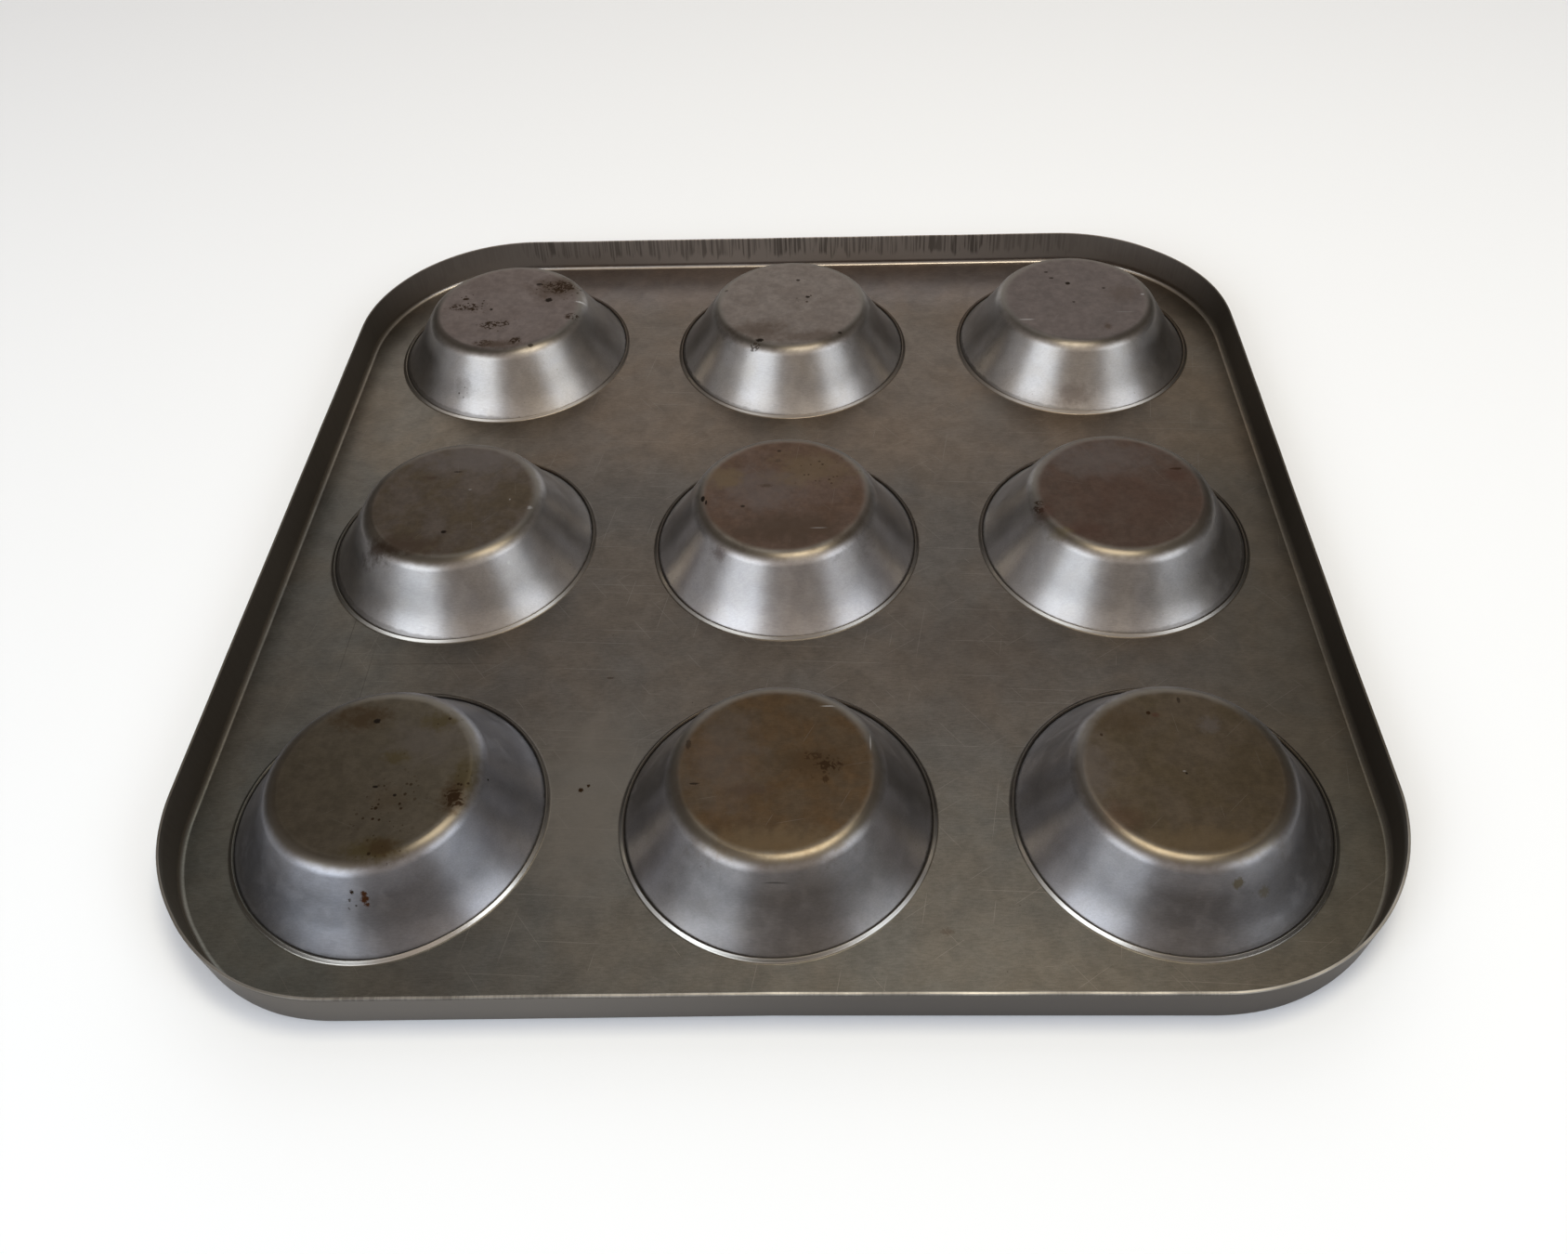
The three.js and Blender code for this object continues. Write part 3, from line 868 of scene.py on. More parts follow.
CUP_LOOKS = {
    "cup_front_left": CupLook((0.078, 0.065, 0.047), (0.084, 0.070, 0.052), 0.05, (
        Mark("amber", -9.3, 21, 4.8, 1.7, 0.8, 0.8), Mark("grey", 13, 12, 8, 1.2, 1, 0.35),
        Mark("burn", -3.6, 19.8, 1, 1.1, 0.9), Mark("olive", 15.7, 19.5, 3.6, 1.3, 0.8, 0.8),
        Mark("dots", 15.7, 19.7, 4.2, 1.3, 0.8), Mark("olive", 5.4, 6.2, 2.6, 1.4, 0.9, 0.8),
        Mark("dots", 5.4, 6.2, 2.6, 1.4), Mark("amber", 6, -9, 4, 1.2, 1, 0.35),
        Mark("dots", 7, -11, 9, 0.9, 1.3), Mark("burn", 8.2, -7.5, 0.5),
        Mark("burn", 1.7, -4.5, 0.6, 1.5, 0.7), Mark("olive", 27.8, -1, 4, 0.8, 1.5, 0.8),
        Mark("amber", 25.5, -8, 3.6, 0.9, 1.4, 0.8), Mark("rust", 26, -8.5, 2, 1, 1.2, 0.9),
        Mark("dots", 27, -4.5, 4.5, 0.7, 1.5), Mark("olive", 6, -26, 3.6, 2, 0.9, 0.9),
        Mark("amber", 8.5, -25, 2.6, 1.5, 1, 0.8), Mark("dots", 7, -26.5, 4, 1.6, 0.9),
        Mark("rust", 10.8, -30.6, 0.8, 1, 1, 0.8, up=23.9), Mark("ember", 4.2, -36.2, 0.9, up=17.6),
        Mark("ember", 4.4, -37.2, 1.2, up=16.2), Mark("ember", 4.8, -38.2, 0.9, up=14.8),
        Mark("rust", 0.8, -36.1, 0.7, up=18.3), Mark("rust", 0, -37.5, 0.6, up=16.2),
        Mark("rust", -0.4, -39, 0.6, up=14), Mark("dots", 3, -38.6, 2.4, up=14.4),
        Mark("burn", 33.6, 0.1, 0.45, up=21), Mark("burn", 29.1, -29.2, 0.45, up=10.8),
    ), tone=(0.85, 0.88, 0.95), rubbed_and_highlit=0.25),
    "cup_front_middle": CupLook((0.060, 0.037, 0.019), (0.056, 0.039, 0.024), 0.0, (
        Mark("grey", -16, 6, 10, 1, 1.6, 0.25), Mark("amber", 12.5, 3.8, 5.5, 1.7, 0.8, 0.75),
        Mark("rust", 15.9, 2.3, 1.7, 1.6, 0.8, 0.85), Mark("rust", 11.1, 5.7, 1.3, 1.6, 0.8, 0.6),
        Mark("rust", 14.9, -2.6, 0.9, 1, 1.4, 0.7), Mark("dots", 13, 2.5, 5, 1.2, 0.9, 0.7),
        Mark("burn", -23.7, -4, 0.55, 2.6, 0.7, 0.8), Mark("burn", -26.5, 10.4, 1, 0.8, 1.8, 0.6),
        Mark("brown", -7.3, -6.2, 3, 2, 0.6, 0.6), Mark("ochre", 0, -24, 6, 3, 0.8, 0.5),
        Mark("pale", 15.6, 24.5, 0.22, 8, 1, 0.5), Mark("pale", 28.4, 11, 0.22, 1, 12, 0.5, up=24.2),
        Mark("burn", 0.9, -34.1, 0.16, 22, 1, 0.6, up=21),
    ), shift=0.9, tone=(0.76, 0.75, 0.75), rubbed_and_highlit=0.8),
    "cup_front_right": CupLook((0.060, 0.045, 0.028), (0.068, 0.052, 0.036), 0.0, (
        Mark("amber", -15.8, 18.8, 6, 1.6, 0.8, 0.4), Mark("rust", -7, 21, 0.65),
        Mark("red", -5, 20.2, 0.8, 1.4, 1, 0.7), Mark("rust", -22.3, 12.9, 0.5),
        Mark("burn", 3, 25.8, 0.35, 1.4, 3.2, 0.7), Mark("burn", 0.4, -1.3, 0.35),
        Mark("pale", -0.1, -0.5, 0.3, 1.4, 0.8, 0.35), Mark("grey", 10.6, 16.1, 2.2, 1.3, 1.3, 0.5),
        Mark("grey", -27, 1, 6, 0.8, 1.8, 0.4), Mark("red", -20.8, -16.4, 4.5, 1.3, 1, 0.35),
        Mark("ochre", 2, -24.5, 5.5, 3, 0.8, 0.4), Mark("gilt", 9.5, -34.4, 1.7, 0.9, 1, 0.75, up=18.7),
        Mark("gilt", 17.8, -34.5, 1.5, 1.2, 1, 0.6, up=14.2), Mark("dots", 17, -34.6, 2.2, up=14.6),
        Mark("rust", -9.9, -47, 1.1, 1.8, 0.6, 0.6, up=PLATE_UP),
    ), seam=(60.0, 0.8), tone=(0.82, 0.825, 0.85), rubbed_and_highlit=0.6),
    "cup_middle_left": CupLook((0.057, 0.043, 0.029), (0.068, 0.054, 0.044), 0.05, (
        Mark("grey", 4, 22, 9, 2, 0.8, 0.5), Mark("brown", -14.3, -23, 5, 2.6, 0.8, 0.9),
        Mark("burn", 0.1, -16.6, 0.75, 1.3), Mark("brown", -10, 12, 1.2, 2, 0.8, 0.8),
        Mark("burn", -1, 15.1, 0.4, 4, 1, 0.6), Mark("pale", 5.4, 5.4, 0.3, 2, 0.8, 0.3),
        Mark("pale", 20.9, -0.1, 0.35, 0.8, 1.2, 0.3), Mark("pale", 28.8, -4.5, 0.8, 1, 1, 0.35, up=24.3),
        Mark("pale", 35.9, 3.1, 2.4, 1, 1.4, 0.28, up=17.9),
        Mark("pale", 23.8, -26.4, 0.5, 1, 1, 0.9, up=18.6),
        Mark("pale", 25.5, -27.2, 0.45, 1, 1, 0.9, up=16.8),
        Mark("pale", 27.6, -26.9, 0.35, 1, 1, 0.8, up=14.8),
        Mark("pale", 31.7, -21.4, 0.6, 0.8, 1.6, 0.4, up=14.8),
    ), seam=(-58.0, 1.4), film=0.2, rubbed_and_highlit=0.5),
    "cup_middle_middle": CupLook((0.069, 0.043, 0.030), (0.077, 0.051, 0.039), 0.06, (
        Mark("grey", -8, 4, 9, 1.5, 1.2, 0.4), Mark("ochre", -21.6, 9.7, 5.5, 1.1, 1, 0.65),
        Mark("ochre", 9.5, 14.3, 8, 1.6, 1, 0.5), Mark("brown", 2, -17.3, 8.5, 2.4, 0.9, 0.75),
        Mark("burn", -2.4, 24.6, 0.6, 1.2, 1, 0.7), Mark("brown", -2.7, 19.1, 0.9, 1.3, 1, 0.8),
        Mark("brown", -6.6, 5.5, 1.2, 1.6, 0.7, 0.8), Mark("burn", -14.7, -5.2, 0.6, 1.3, 1, 0.8),
        Mark("burn", -29.2, -1, 0.7, 1, 2), Mark("burn", -27.9, -3, 0.5, 0.7, 2.4),
        Mark("dots", 14, 12, 9, 1.3, 0.9, 0.7), Mark("pale", 12.4, -16.6, 0.25, 10, 1, 0.25),
        Mark("red", -22.3, -25.4, 2.4, 1, 1, 0.5, up=21.3), Mark("burn", -27, -26.7, 0.6, up=15.6),
    ), shift=0.8, film=0.2, tone=(1.06, 1.06, 1.08), rubbed_and_highlit=0.7),
    "cup_middle_right": CupLook((0.057, 0.037, 0.028), (0.059, 0.041, 0.032), 0.0, (
        Mark("grey", -6, 18, 9, 2, 0.9, 0.4), Mark("red", 4, -2.6, 11, 1.6, 1, 0.2),
        Mark("red", -15.2, -19, 5, 1.5, 0.8, 0.4), Mark("rust", -29.6, -7, 1.6, 0.9, 1.3, 0.8, up=24.2),
        Mark("red", -29, -10, 3, 1, 1.2, 0.6, up=24.2), Mark("rust", 21.7, 12, 0.7, 3, 0.8, 0.8),
        Mark("red", 21, 9, 3, 1.5, 1, 0.5), Mark("gilt", -24, -20, 3, 1.3, 0.8, 0.35, up=23.4),
        Mark("burn", -28.2, -26.3, 0.45, up=14.7),
    ), seam=(55.0, 1.0), film=0.2, rubbed_and_highlit=0.5),
    "cup_back_left": CupLook((0.100, 0.081, 0.074), (0.089, 0.071, 0.064), 0.05, (
        Mark("brown", 19, 14, 7, 1.4, 1, 0.8), Mark("rust", 19.3, 14.5, 3.4, 1.4, 0.9, 0.85),
        Mark("dots", 19, 15, 8, 1.3, 1.1), Mark("burn", 16.7, 4.8, 1.4, 1, 1.1),
        Mark("burn", 10.7, 16.8, 0.9, 1.4, 1, 0.8), Mark("rust", -21, 0.4, 1.7, 1.5, 1, 0.9),
        Mark("rust", -15.2, 0.2, 1.6, 1, 1.2, 0.9), Mark("rust", -19.2, 6.5, 1, 1.4, 0.8, 0.9),
        Mark("dots", -17, 3, 7, 1.3), Mark("rust", -5.8, -12.8, 2, 1.3, 0.9, 0.9),
        Mark("rust", -0.4, -11.6, 1.5, 1.2, 1, 0.8), Mark("dots", -3, -12, 5.5, 1.6, 0.8),
        Mark("rust", -5.7, -25.4, 1.9, 1.4, 0.9, 0.75), Mark("brown", 0, -26, 3.2, 2.4, 0.8, 0.8),
        Mark("rust", 6.9, -23.9, 1.4, 1.2, 1.2, 0.85), Mark("burn", 13.7, -26.9, 0.9, 1.2, 1, 0.8, up=24.3),
        Mark("rust", 28, -7.1, 1.6, 1.3, 0.9, 0.8, up=24.3), Mark("pale", 31, 3.4, 0.5, 5, 1, 0.7, up=23.4),
        Mark("burn", -7, -1.4, 0.7), Mark("brown", -15, -37.5, 3.4, 1.2, 1, 0.3, up=11.5),
        Mark("dots", -14, -38.5, 4, 1, 1, 0.8, up=10.5),
    ), seam=(-52.0, 1.2), film=0.35),
    "cup_back_middle": CupLook((0.123, 0.104, 0.092), (0.104, 0.086, 0.075), 0.08, (
        Mark("brown", -12.7, -19, 6, 1.9, 0.9, 0.6), Mark("brown", 9, -24, 5, 2.6, 0.7, 0.5),
        Mark("dots", 7.7, 3.4, 3.6, 1.3), Mark("burn", 7.2, 4, 0.7, 1.3),
        Mark("burn", 3.1, 16.6, 0.7, 1.2, 1, 0.8), Mark("burn", -27.6, 9.6, 0.6, 1.2, 1, 0.6),
        Mark("burn", -12, -26.1, 1.1, 1.4, 0.9, up=24.4), Mark("rust", -14, -29, 1.3, 1.2, 1, 0.7, up=23.6),
        Mark("rust", -17.5, -30.5, 0.9, 1, 1, 0.9, up=22.3),
        Mark("burn", 20.7, -21.6, 0.7, 1.2, 1, 0.8, up=24.3), Mark("burn", 27.1, -26.7, 0.5, up=15.5),
    ), seam=(-60.0, 0.8), film=0.35),
    "cup_back_right": CupLook((0.088, 0.072, 0.066), (0.080, 0.066, 0.061), 0.04, (
        Mark("burn", -2.2, 10.9, 0.9, 1.1, 1.1), Mark("burn", -10.4, 19.6, 0.6, 1.6, 0.9, 0.8),
        Mark("burn", -8.6, 15.1, 0.6, 1.6, 0.9, 0.8), Mark("burn", -1.4, -2.8, 0.5, 1.4, 1, 0.7),
        Mark("burn", 12.4, 7, 0.55, 1.3, 1, 0.7), Mark("brown", 10.3, -20.2, 1.6, 0.8, 1.2, 0.7),
        Mark("brown", 20, 3, 6, 1, 0.9, 0.35), Mark("pale", -22.1, -14.7, 0.35, 8, 1, 0.4),
        Mark("pale", 28, 2, 0.5, 1.4, 1, 0.4, up=24.4), Mark("pale", 18.5, -10.4, 0.22, 16, 1, 0.15),
        Mark("red", -4.7, -43, 4.5, 1.3, 0.8, 0.4, up=7.6),
    ), seam=(-50.0, 0.9), film=0.35),
}
# Tints at a glancing angle, and how far the light is drawn out along the walls
PLATE_EDGE_TINT = (0.6, 0.58, 0.56, 1.0)
CUP_EDGE_TINT = (0.60, 0.565, 0.535, 1.0)
CUP_BRUSHING = {"wall": 0.6, "base": 0.0}
UPRIGHT_SPREAD = 0.25
# Painted light and shade on the plate, lighter towards the back and the left, bluer at the far edge and the
# front,
# and warmer at the right: axis, where a tone starts and where it is full in millimetres, and the tone
PLATE_PAINTED_LIGHT_TONES = (
    ("Y", 20.0, 60.0, (1.28, 1.19, 1.11)),
    ("Y", 138.0, 172.0, (1.58, 1.67, 1.90)),
    ("Y", -70.0, -130.0, (1.00, 1.08, 1.12)),
    ("X", 125.0, 170.0, (1.01, 1.01, 0.95)),
    ("X", -90.0, -150.0, (1.32, 1.41, 1.42)),
)
# Turn in radians, length, spacing and width in millimetres, and share of places that have a scratch
PLATE_SCRATCHES = (
    (0.05, 70.0, 7.0, 0.10, 0.35),
    (-0.6, 30.0, 9.0, 0.08, 0.30),
    (0.9, 26.0, 9.0, 0.08, 0.30),
    (1.75, 34.0, 11.0, 0.09, 0.25),
)
CUP_SCRATCHES = ((0.4, 22.0, 7.0, 0.08, 0.12), (-0.5, 16.0, 9.0, 0.08, 0.12))
# Spacing and size of the plate's specks in millimetres, and their seed
PLATE_SPECKLING = ((5.0, 0.22, 0.0), (17.0, 0.45, 5.0))
# Colours of the steel, of what lies on it, and of painted light and shade
PLATE_SCRATCH = (0.21, 0.19, 0.17)
PLATE_SPECK = (0.028, 0.018, 0.012)
CUP_SCRATCH = (0.24, 0.22, 0.20)
WALL_FILM = (0.315, 0.290, 0.262)
WALL_SPECK = (0.110, 0.082, 0.055)
BASE_SPECK = (0.026, 0.016, 0.010)
ROUNDING_TAN = (0.110, 0.100, 0.088)
# Lighter tan on the front of each cup's rounding: rubbed wear that also paints in the highlight there
RUBBED_HIGHLIGHT_TAN = (0.20, 0.18, 0.15)
# Dark grime at each cup's foot, with painted shade where the seam's gap shows
SEAM_GRIME_AND_SHADE = (0.040, 0.032, 0.025)
# Dark grime with painted shade, in the seams' gaps and in the right rim's crease
GRIME_AND_SHADE = (0.030, 0.025, 0.020)
STREAK = (0.045, 0.036, 0.030)
# Painted shade in the rim's inner bend at the sides and front
BEND_SIDE_PAINTED_SHADE = (0.088, 0.077, 0.064)
# Painted highlight along the top of the rim's inner bend
BEND_PAINTED_HIGHLIGHT = (0.26, 0.225, 0.175)
# Painted light and shade on the rim: the inner wall lit at the back and shaded at the sides and front, and
# the outside lighter on the left than on the right
RIM_BACK_PAINTED_LIGHT = (0.33, 0.295, 0.27)
RIM_LEFT_PAINTED_SHADE = (0.115, 0.104, 0.090)
RIM_RIGHT_PAINTED_SHADE = (0.080, 0.070, 0.058)
RIM_FRONT_PAINTED_SHADE = (0.15, 0.14, 0.128)
RIM_OUTSIDE_LEFT_PAINTED_LIGHT = (0.172, 0.163, 0.154)
RIM_OUTSIDE_RIGHT_PAINTED_SHADE = (0.118, 0.112, 0.108)
PLATE_MARKS = (
    Mark("scuff", -60, -112, 20, 0.8, 1.5, 0.65, up=PLATE_UP),
    Mark("brown", 62, -52, 22, 1, 1, 0.25, up=PLATE_UP),
    Mark("burn", -152, -30, 0.16, 1, 220, 0.35, up=PLATE_UP),
    Mark("burn", -142, -75, 0.16, 1, 160, 0.3, up=PLATE_UP),
    Mark("burn", -118, -58, 0.16, 150, 1, 0.3, up=PLATE_UP),
    Mark("rust", -62.4, -110.3, 0.8, up=PLATE_UP),
    Mark("rust", -60.1, -108.6, 0.55, up=PLATE_UP),
    Mark("rust", -58.3, -64.9, 0.6, 2, 0.7, 0.5, up=PLATE_UP),
    Mark("brown", 49.4, -159.4, 1.1, 1.4, 0.8, 0.5, up=PLATE_UP),
    Mark("scuff", 81.5, 75.8, 9, 1.2, 1, 0.35, up=PLATE_UP),
    Mark("scuff", 1.8, 62.7, 4, 1, 1.6, 0.35, up=PLATE_UP),
)


def lay_marks(surface, place, marks):
    """Lays each mark over the surface so far."""
    wires = surface.wires
    smallest_cluster, cluster_spread = 1.2, 1.4
    for mark in marks:
        tint = TINTS[mark.kind]
        clustered = mark.radius >= smallest_cluster and tint.broken > 0.0
        radius = mark.radius * (cluster_spread if clustered else 1.0)
        spot = wires.use(
            "Ragged spot", Position=place, Centre=(mark.x, mark.y, mark.up),
            Stretch=(mark.wide, mark.deep, max(mark.wide, mark.deep)), Radius=radius,
            Softness=radius * tint.softness, Raggedness=tint.raggedness,
            Broken=tint.broken if clustered else 0.0)["Mask"]
        if mark.kind == "dots":
            dots = wires.use("Specks", Position=place, Spacing=1.7, Size=0.58, Share=0.6, Seed=mark.x)
            spot = wires.times(spot, dots["Mask"])
        if mark.strength < 1.0:
            spot = wires.times(spot, mark.strength)
        surface.lay(spot, tint.colour, tint.roughness, tint.metal)


# Finishes
def lay_scratches(surface, place, turned, ways, strength, colour):
    """Lays fine scratches, each way given by its turn, length, spacing, width and share of places."""
    wires = surface.wires
    gloss = 0.28
    for turn, length, spacing, width, share in ways:
        lines = wires.use("Scratches", Position=place, Turn=turn + turned, Length=length, Spacing=spacing,
                          Width=width, Share=share)
        surface.lay(wires.times(lines["Mask"], strength), colour, gloss)


def plate_material(finish):
    """Baked brown-grey satin of the plate, with scratches, specks and a rubbed raw edge, painted light and
    shade by region and on the rim, and a painted highlight on the front of each hole's lip.
    """
    material, wires, shader = new_material("Plate steel")
    wires.put(PLATE_EDGE_TINT, shader.inputs["Specular Tint"])
    place = wires.millimetres()
    parts = wires.split(place)
    surface = Surface(wires, shader, tuple(finish.plate_brown), finish.plate_roughness, 0.95)
    clouds = wires.use("Stain cloud", Position=place, Size=38.0, Cover=0.5, Softness=0.16)
    surface.lay(clouds["Mask"], tuple(finish.plate_grey))
    # Painted light and shade on the plate, region by region
    for axis, start, end, tone in PLATE_PAINTED_LIGHT_TONES:
        surface.lay(wires.fade(parts[axis], start, end), tone, blend="MULTIPLY")
    grain = wires.use("Sheet grain", Position=place, Size=0.8)
    surface.shade(grain["Tone"], 0.16)
    surface.shade(wires.noise(place, 0.11, 4.0, 0.6, 0.6), 0.10)
    smears = wires.use("Stain cloud", Position=place, Size=9.0, Cover=0.4, Softness=0.2, Seed=4.0)
    surface.lay(smears["Mask"], roughness=finish.plate_roughness + 0.05)
    lay_scratches(surface, place, 0.0, PLATE_SCRATCHES, 0.6, PLATE_SCRATCH)
    for spacing, size, seed in PLATE_SPECKLING:
        specks = wires.use("Specks", Position=place, Spacing=spacing, Size=size, Share=0.20, Seed=seed)
        surface.lay(wires.times(specks["Mask"], 0.75), PLATE_SPECK, 0.6)
    lay_marks(surface, place, PLATE_MARKS)
    lay_rim(surface, place, tuple(finish.bare_steel))
    worn = wires.attribute("bare")
    # Bare steel on the lips, rubbed bright in front of each cup, which also paints in their highlight
    surface.lay(wires.maths("MAXIMUM", worn, 0.0), tuple(finish.bare_steel), 0.28, 1.0)
    # Grime and painted shade on the faces in the seams' gaps
    surface.lay(wires.maths("MULTIPLY", worn, -1.0, clamp=True), GRIME_AND_SHADE, 0.5)
    surface.raise_by(grain["Height"], 0.010)
    surface.finish()
    return material


def lay_rim(surface, place, bare_steel):
    """The rim: its inner bend rubbed bright along the back, which also paints in its highlight there, with
    painted shade in the bend at the sides, a painted highlight along the bend's top and painted shade in the
    right crease; a rough inner wall with painted light and shade, lit at the back and shaded at the sides and
    front, and upright dark streaks from its edge; an outside painted lighter on the left than on the right;
    and a raw edge that is rubbed bright along the front, more on the right, which also paints in its
    highlight."""
    wires = surface.wires
    parts = wires.split(place)
    rise = wires.attribute("rise")
    along = wires.maths("DIVIDE", wires.attribute("along"), MM)
    line = wires.join(X=along)
    at_back = wires.fade(parts["Y"], 120.0, 172.0)
    at_front = wires.fade(parts["Y"], -165.0, -182.0)
    at_right = wires.fade(parts["X"], 100.0, 165.0)
    off_middle = wires.maths("ABSOLUTE", parts["X"])
    aside = wires.maths("SUBTRACT", 1.0, at_back)
    inside = wires.fade(rise, 2.6, 2.2)

    # Bend
    # Painted shade in the bend at the sides and front
    bend = wires.times(wires.fade(rise, 0.2, 0.8), inside, aside)
    surface.lay(bend, BEND_SIDE_PAINTED_SHADE, 0.55, 0.70)
    # Bare steel along the back bend: rubbed wear that also paints in the bend's highlight there
    rubbed_and_highlit = wires.times(wires.band(rise, 0.55, 0.45), at_back, 0.6)
    surface.lay(rubbed_and_highlit, bare_steel, 0.24, 1.0)
    # Painted highlight, broken, along the top of the bend at the sides
    broken = wires.fade(wires.noise(line, 0.08, 4.0, 0.7), 0.40, 0.60, 0.15, 1.0)
    painted_bend_highlight = wires.times(wires.band(rise, 0.95, 0.14), aside, broken, 0.8)
    surface.lay(painted_bend_highlight, BEND_PAINTED_HIGHLIGHT, 0.34, 1.0)
    # Painted shade in the crease at the foot of the right rim
    painted_crease_shade = wires.times(wires.band(rise, 0.06, 0.10), at_right, 0.6)
    surface.lay(painted_crease_shade, GRIME_AND_SHADE, 0.5)

    # Inner wall and outside
    low = wires.blend(at_right, 1.0, 1.06)
    wall = wires.times(wires.fade(rise, low, wires.maths("ADD", low, 0.10)), inside)
    # Painted light and shade: the inner wall lit at the back, darker towards its ends, and shaded at the
    # sides and front
    side = wires.mix(at_right, RIM_LEFT_PAINTED_SHADE, RIM_RIGHT_PAINTED_SHADE)
    far = wires.mix(1.0, RIM_BACK_PAINTED_LIGHT, wires.fade(off_middle, 20.0, 160.0, 0.98, 0.60), "MULTIPLY")
    tone = wires.mix(at_back, wires.mix(at_front, side, RIM_FRONT_PAINTED_SHADE), far)
    surface.lay(wall, tone, 0.58, 0.95)
    # Painted light and shade on the outside: lighter on the left than on the right
    outside = wires.mix(wires.fade(parts["X"], -70.0, 40.0), RIM_OUTSIDE_LEFT_PAINTED_LIGHT, RIM_OUTSIDE_RIGHT_PAINTED_SHADE)
    surface.lay(wires.fade(rise, 2.2, 2.6), outside, 0.40, 0.95)

    # Streaks
    spread = wires.join(X=along, Y=wires.times(parts["Z"], 0.03))
    fine = wires.fade(wires.noise(spread, 1.25, 1.0, 0.5), 0.42, 0.58)
    reach = wires.fade(wires.noise(line, 0.21, 2.0), 0.25, 0.75, 10.0, 3.0)
    hanging = wires.fade(parts["Z"], reach, wires.maths("ADD", reach, 2.5))
    bunch = wires.fade(wires.noise(line, 0.03, 2.0), 0.36, 0.60, 0.45, 1.0)
    middle = wires.fade(off_middle, 132.0, 112.0, 0.15, 1.0)
    dark = wires.times(fine, bunch, hanging, middle, wall)
    surface.lay(wires.times(dark, 0.65), STREAK, 0.65)
    surface.raise_by(dark, -0.02)

    # Raw edge
    near = wires.fade(parts["Y"], -100.0, -165.0)
    # The raw edge is rubbed bright, more on the right, which also paints in its highlight there
    shown = wires.fade(parts["X"], -130.0, 20.0, 0.30, 0.90)
    patchy = wires.fade(wires.noise(line, 0.04, 2.0), 0.35, 0.65, 0.35, 1.0)
    edge = wires.times(wires.band(rise, 2.05, 0.30), near, shown, patchy)
    surface.lay(edge, bare_steel, 0.40, 1.0)


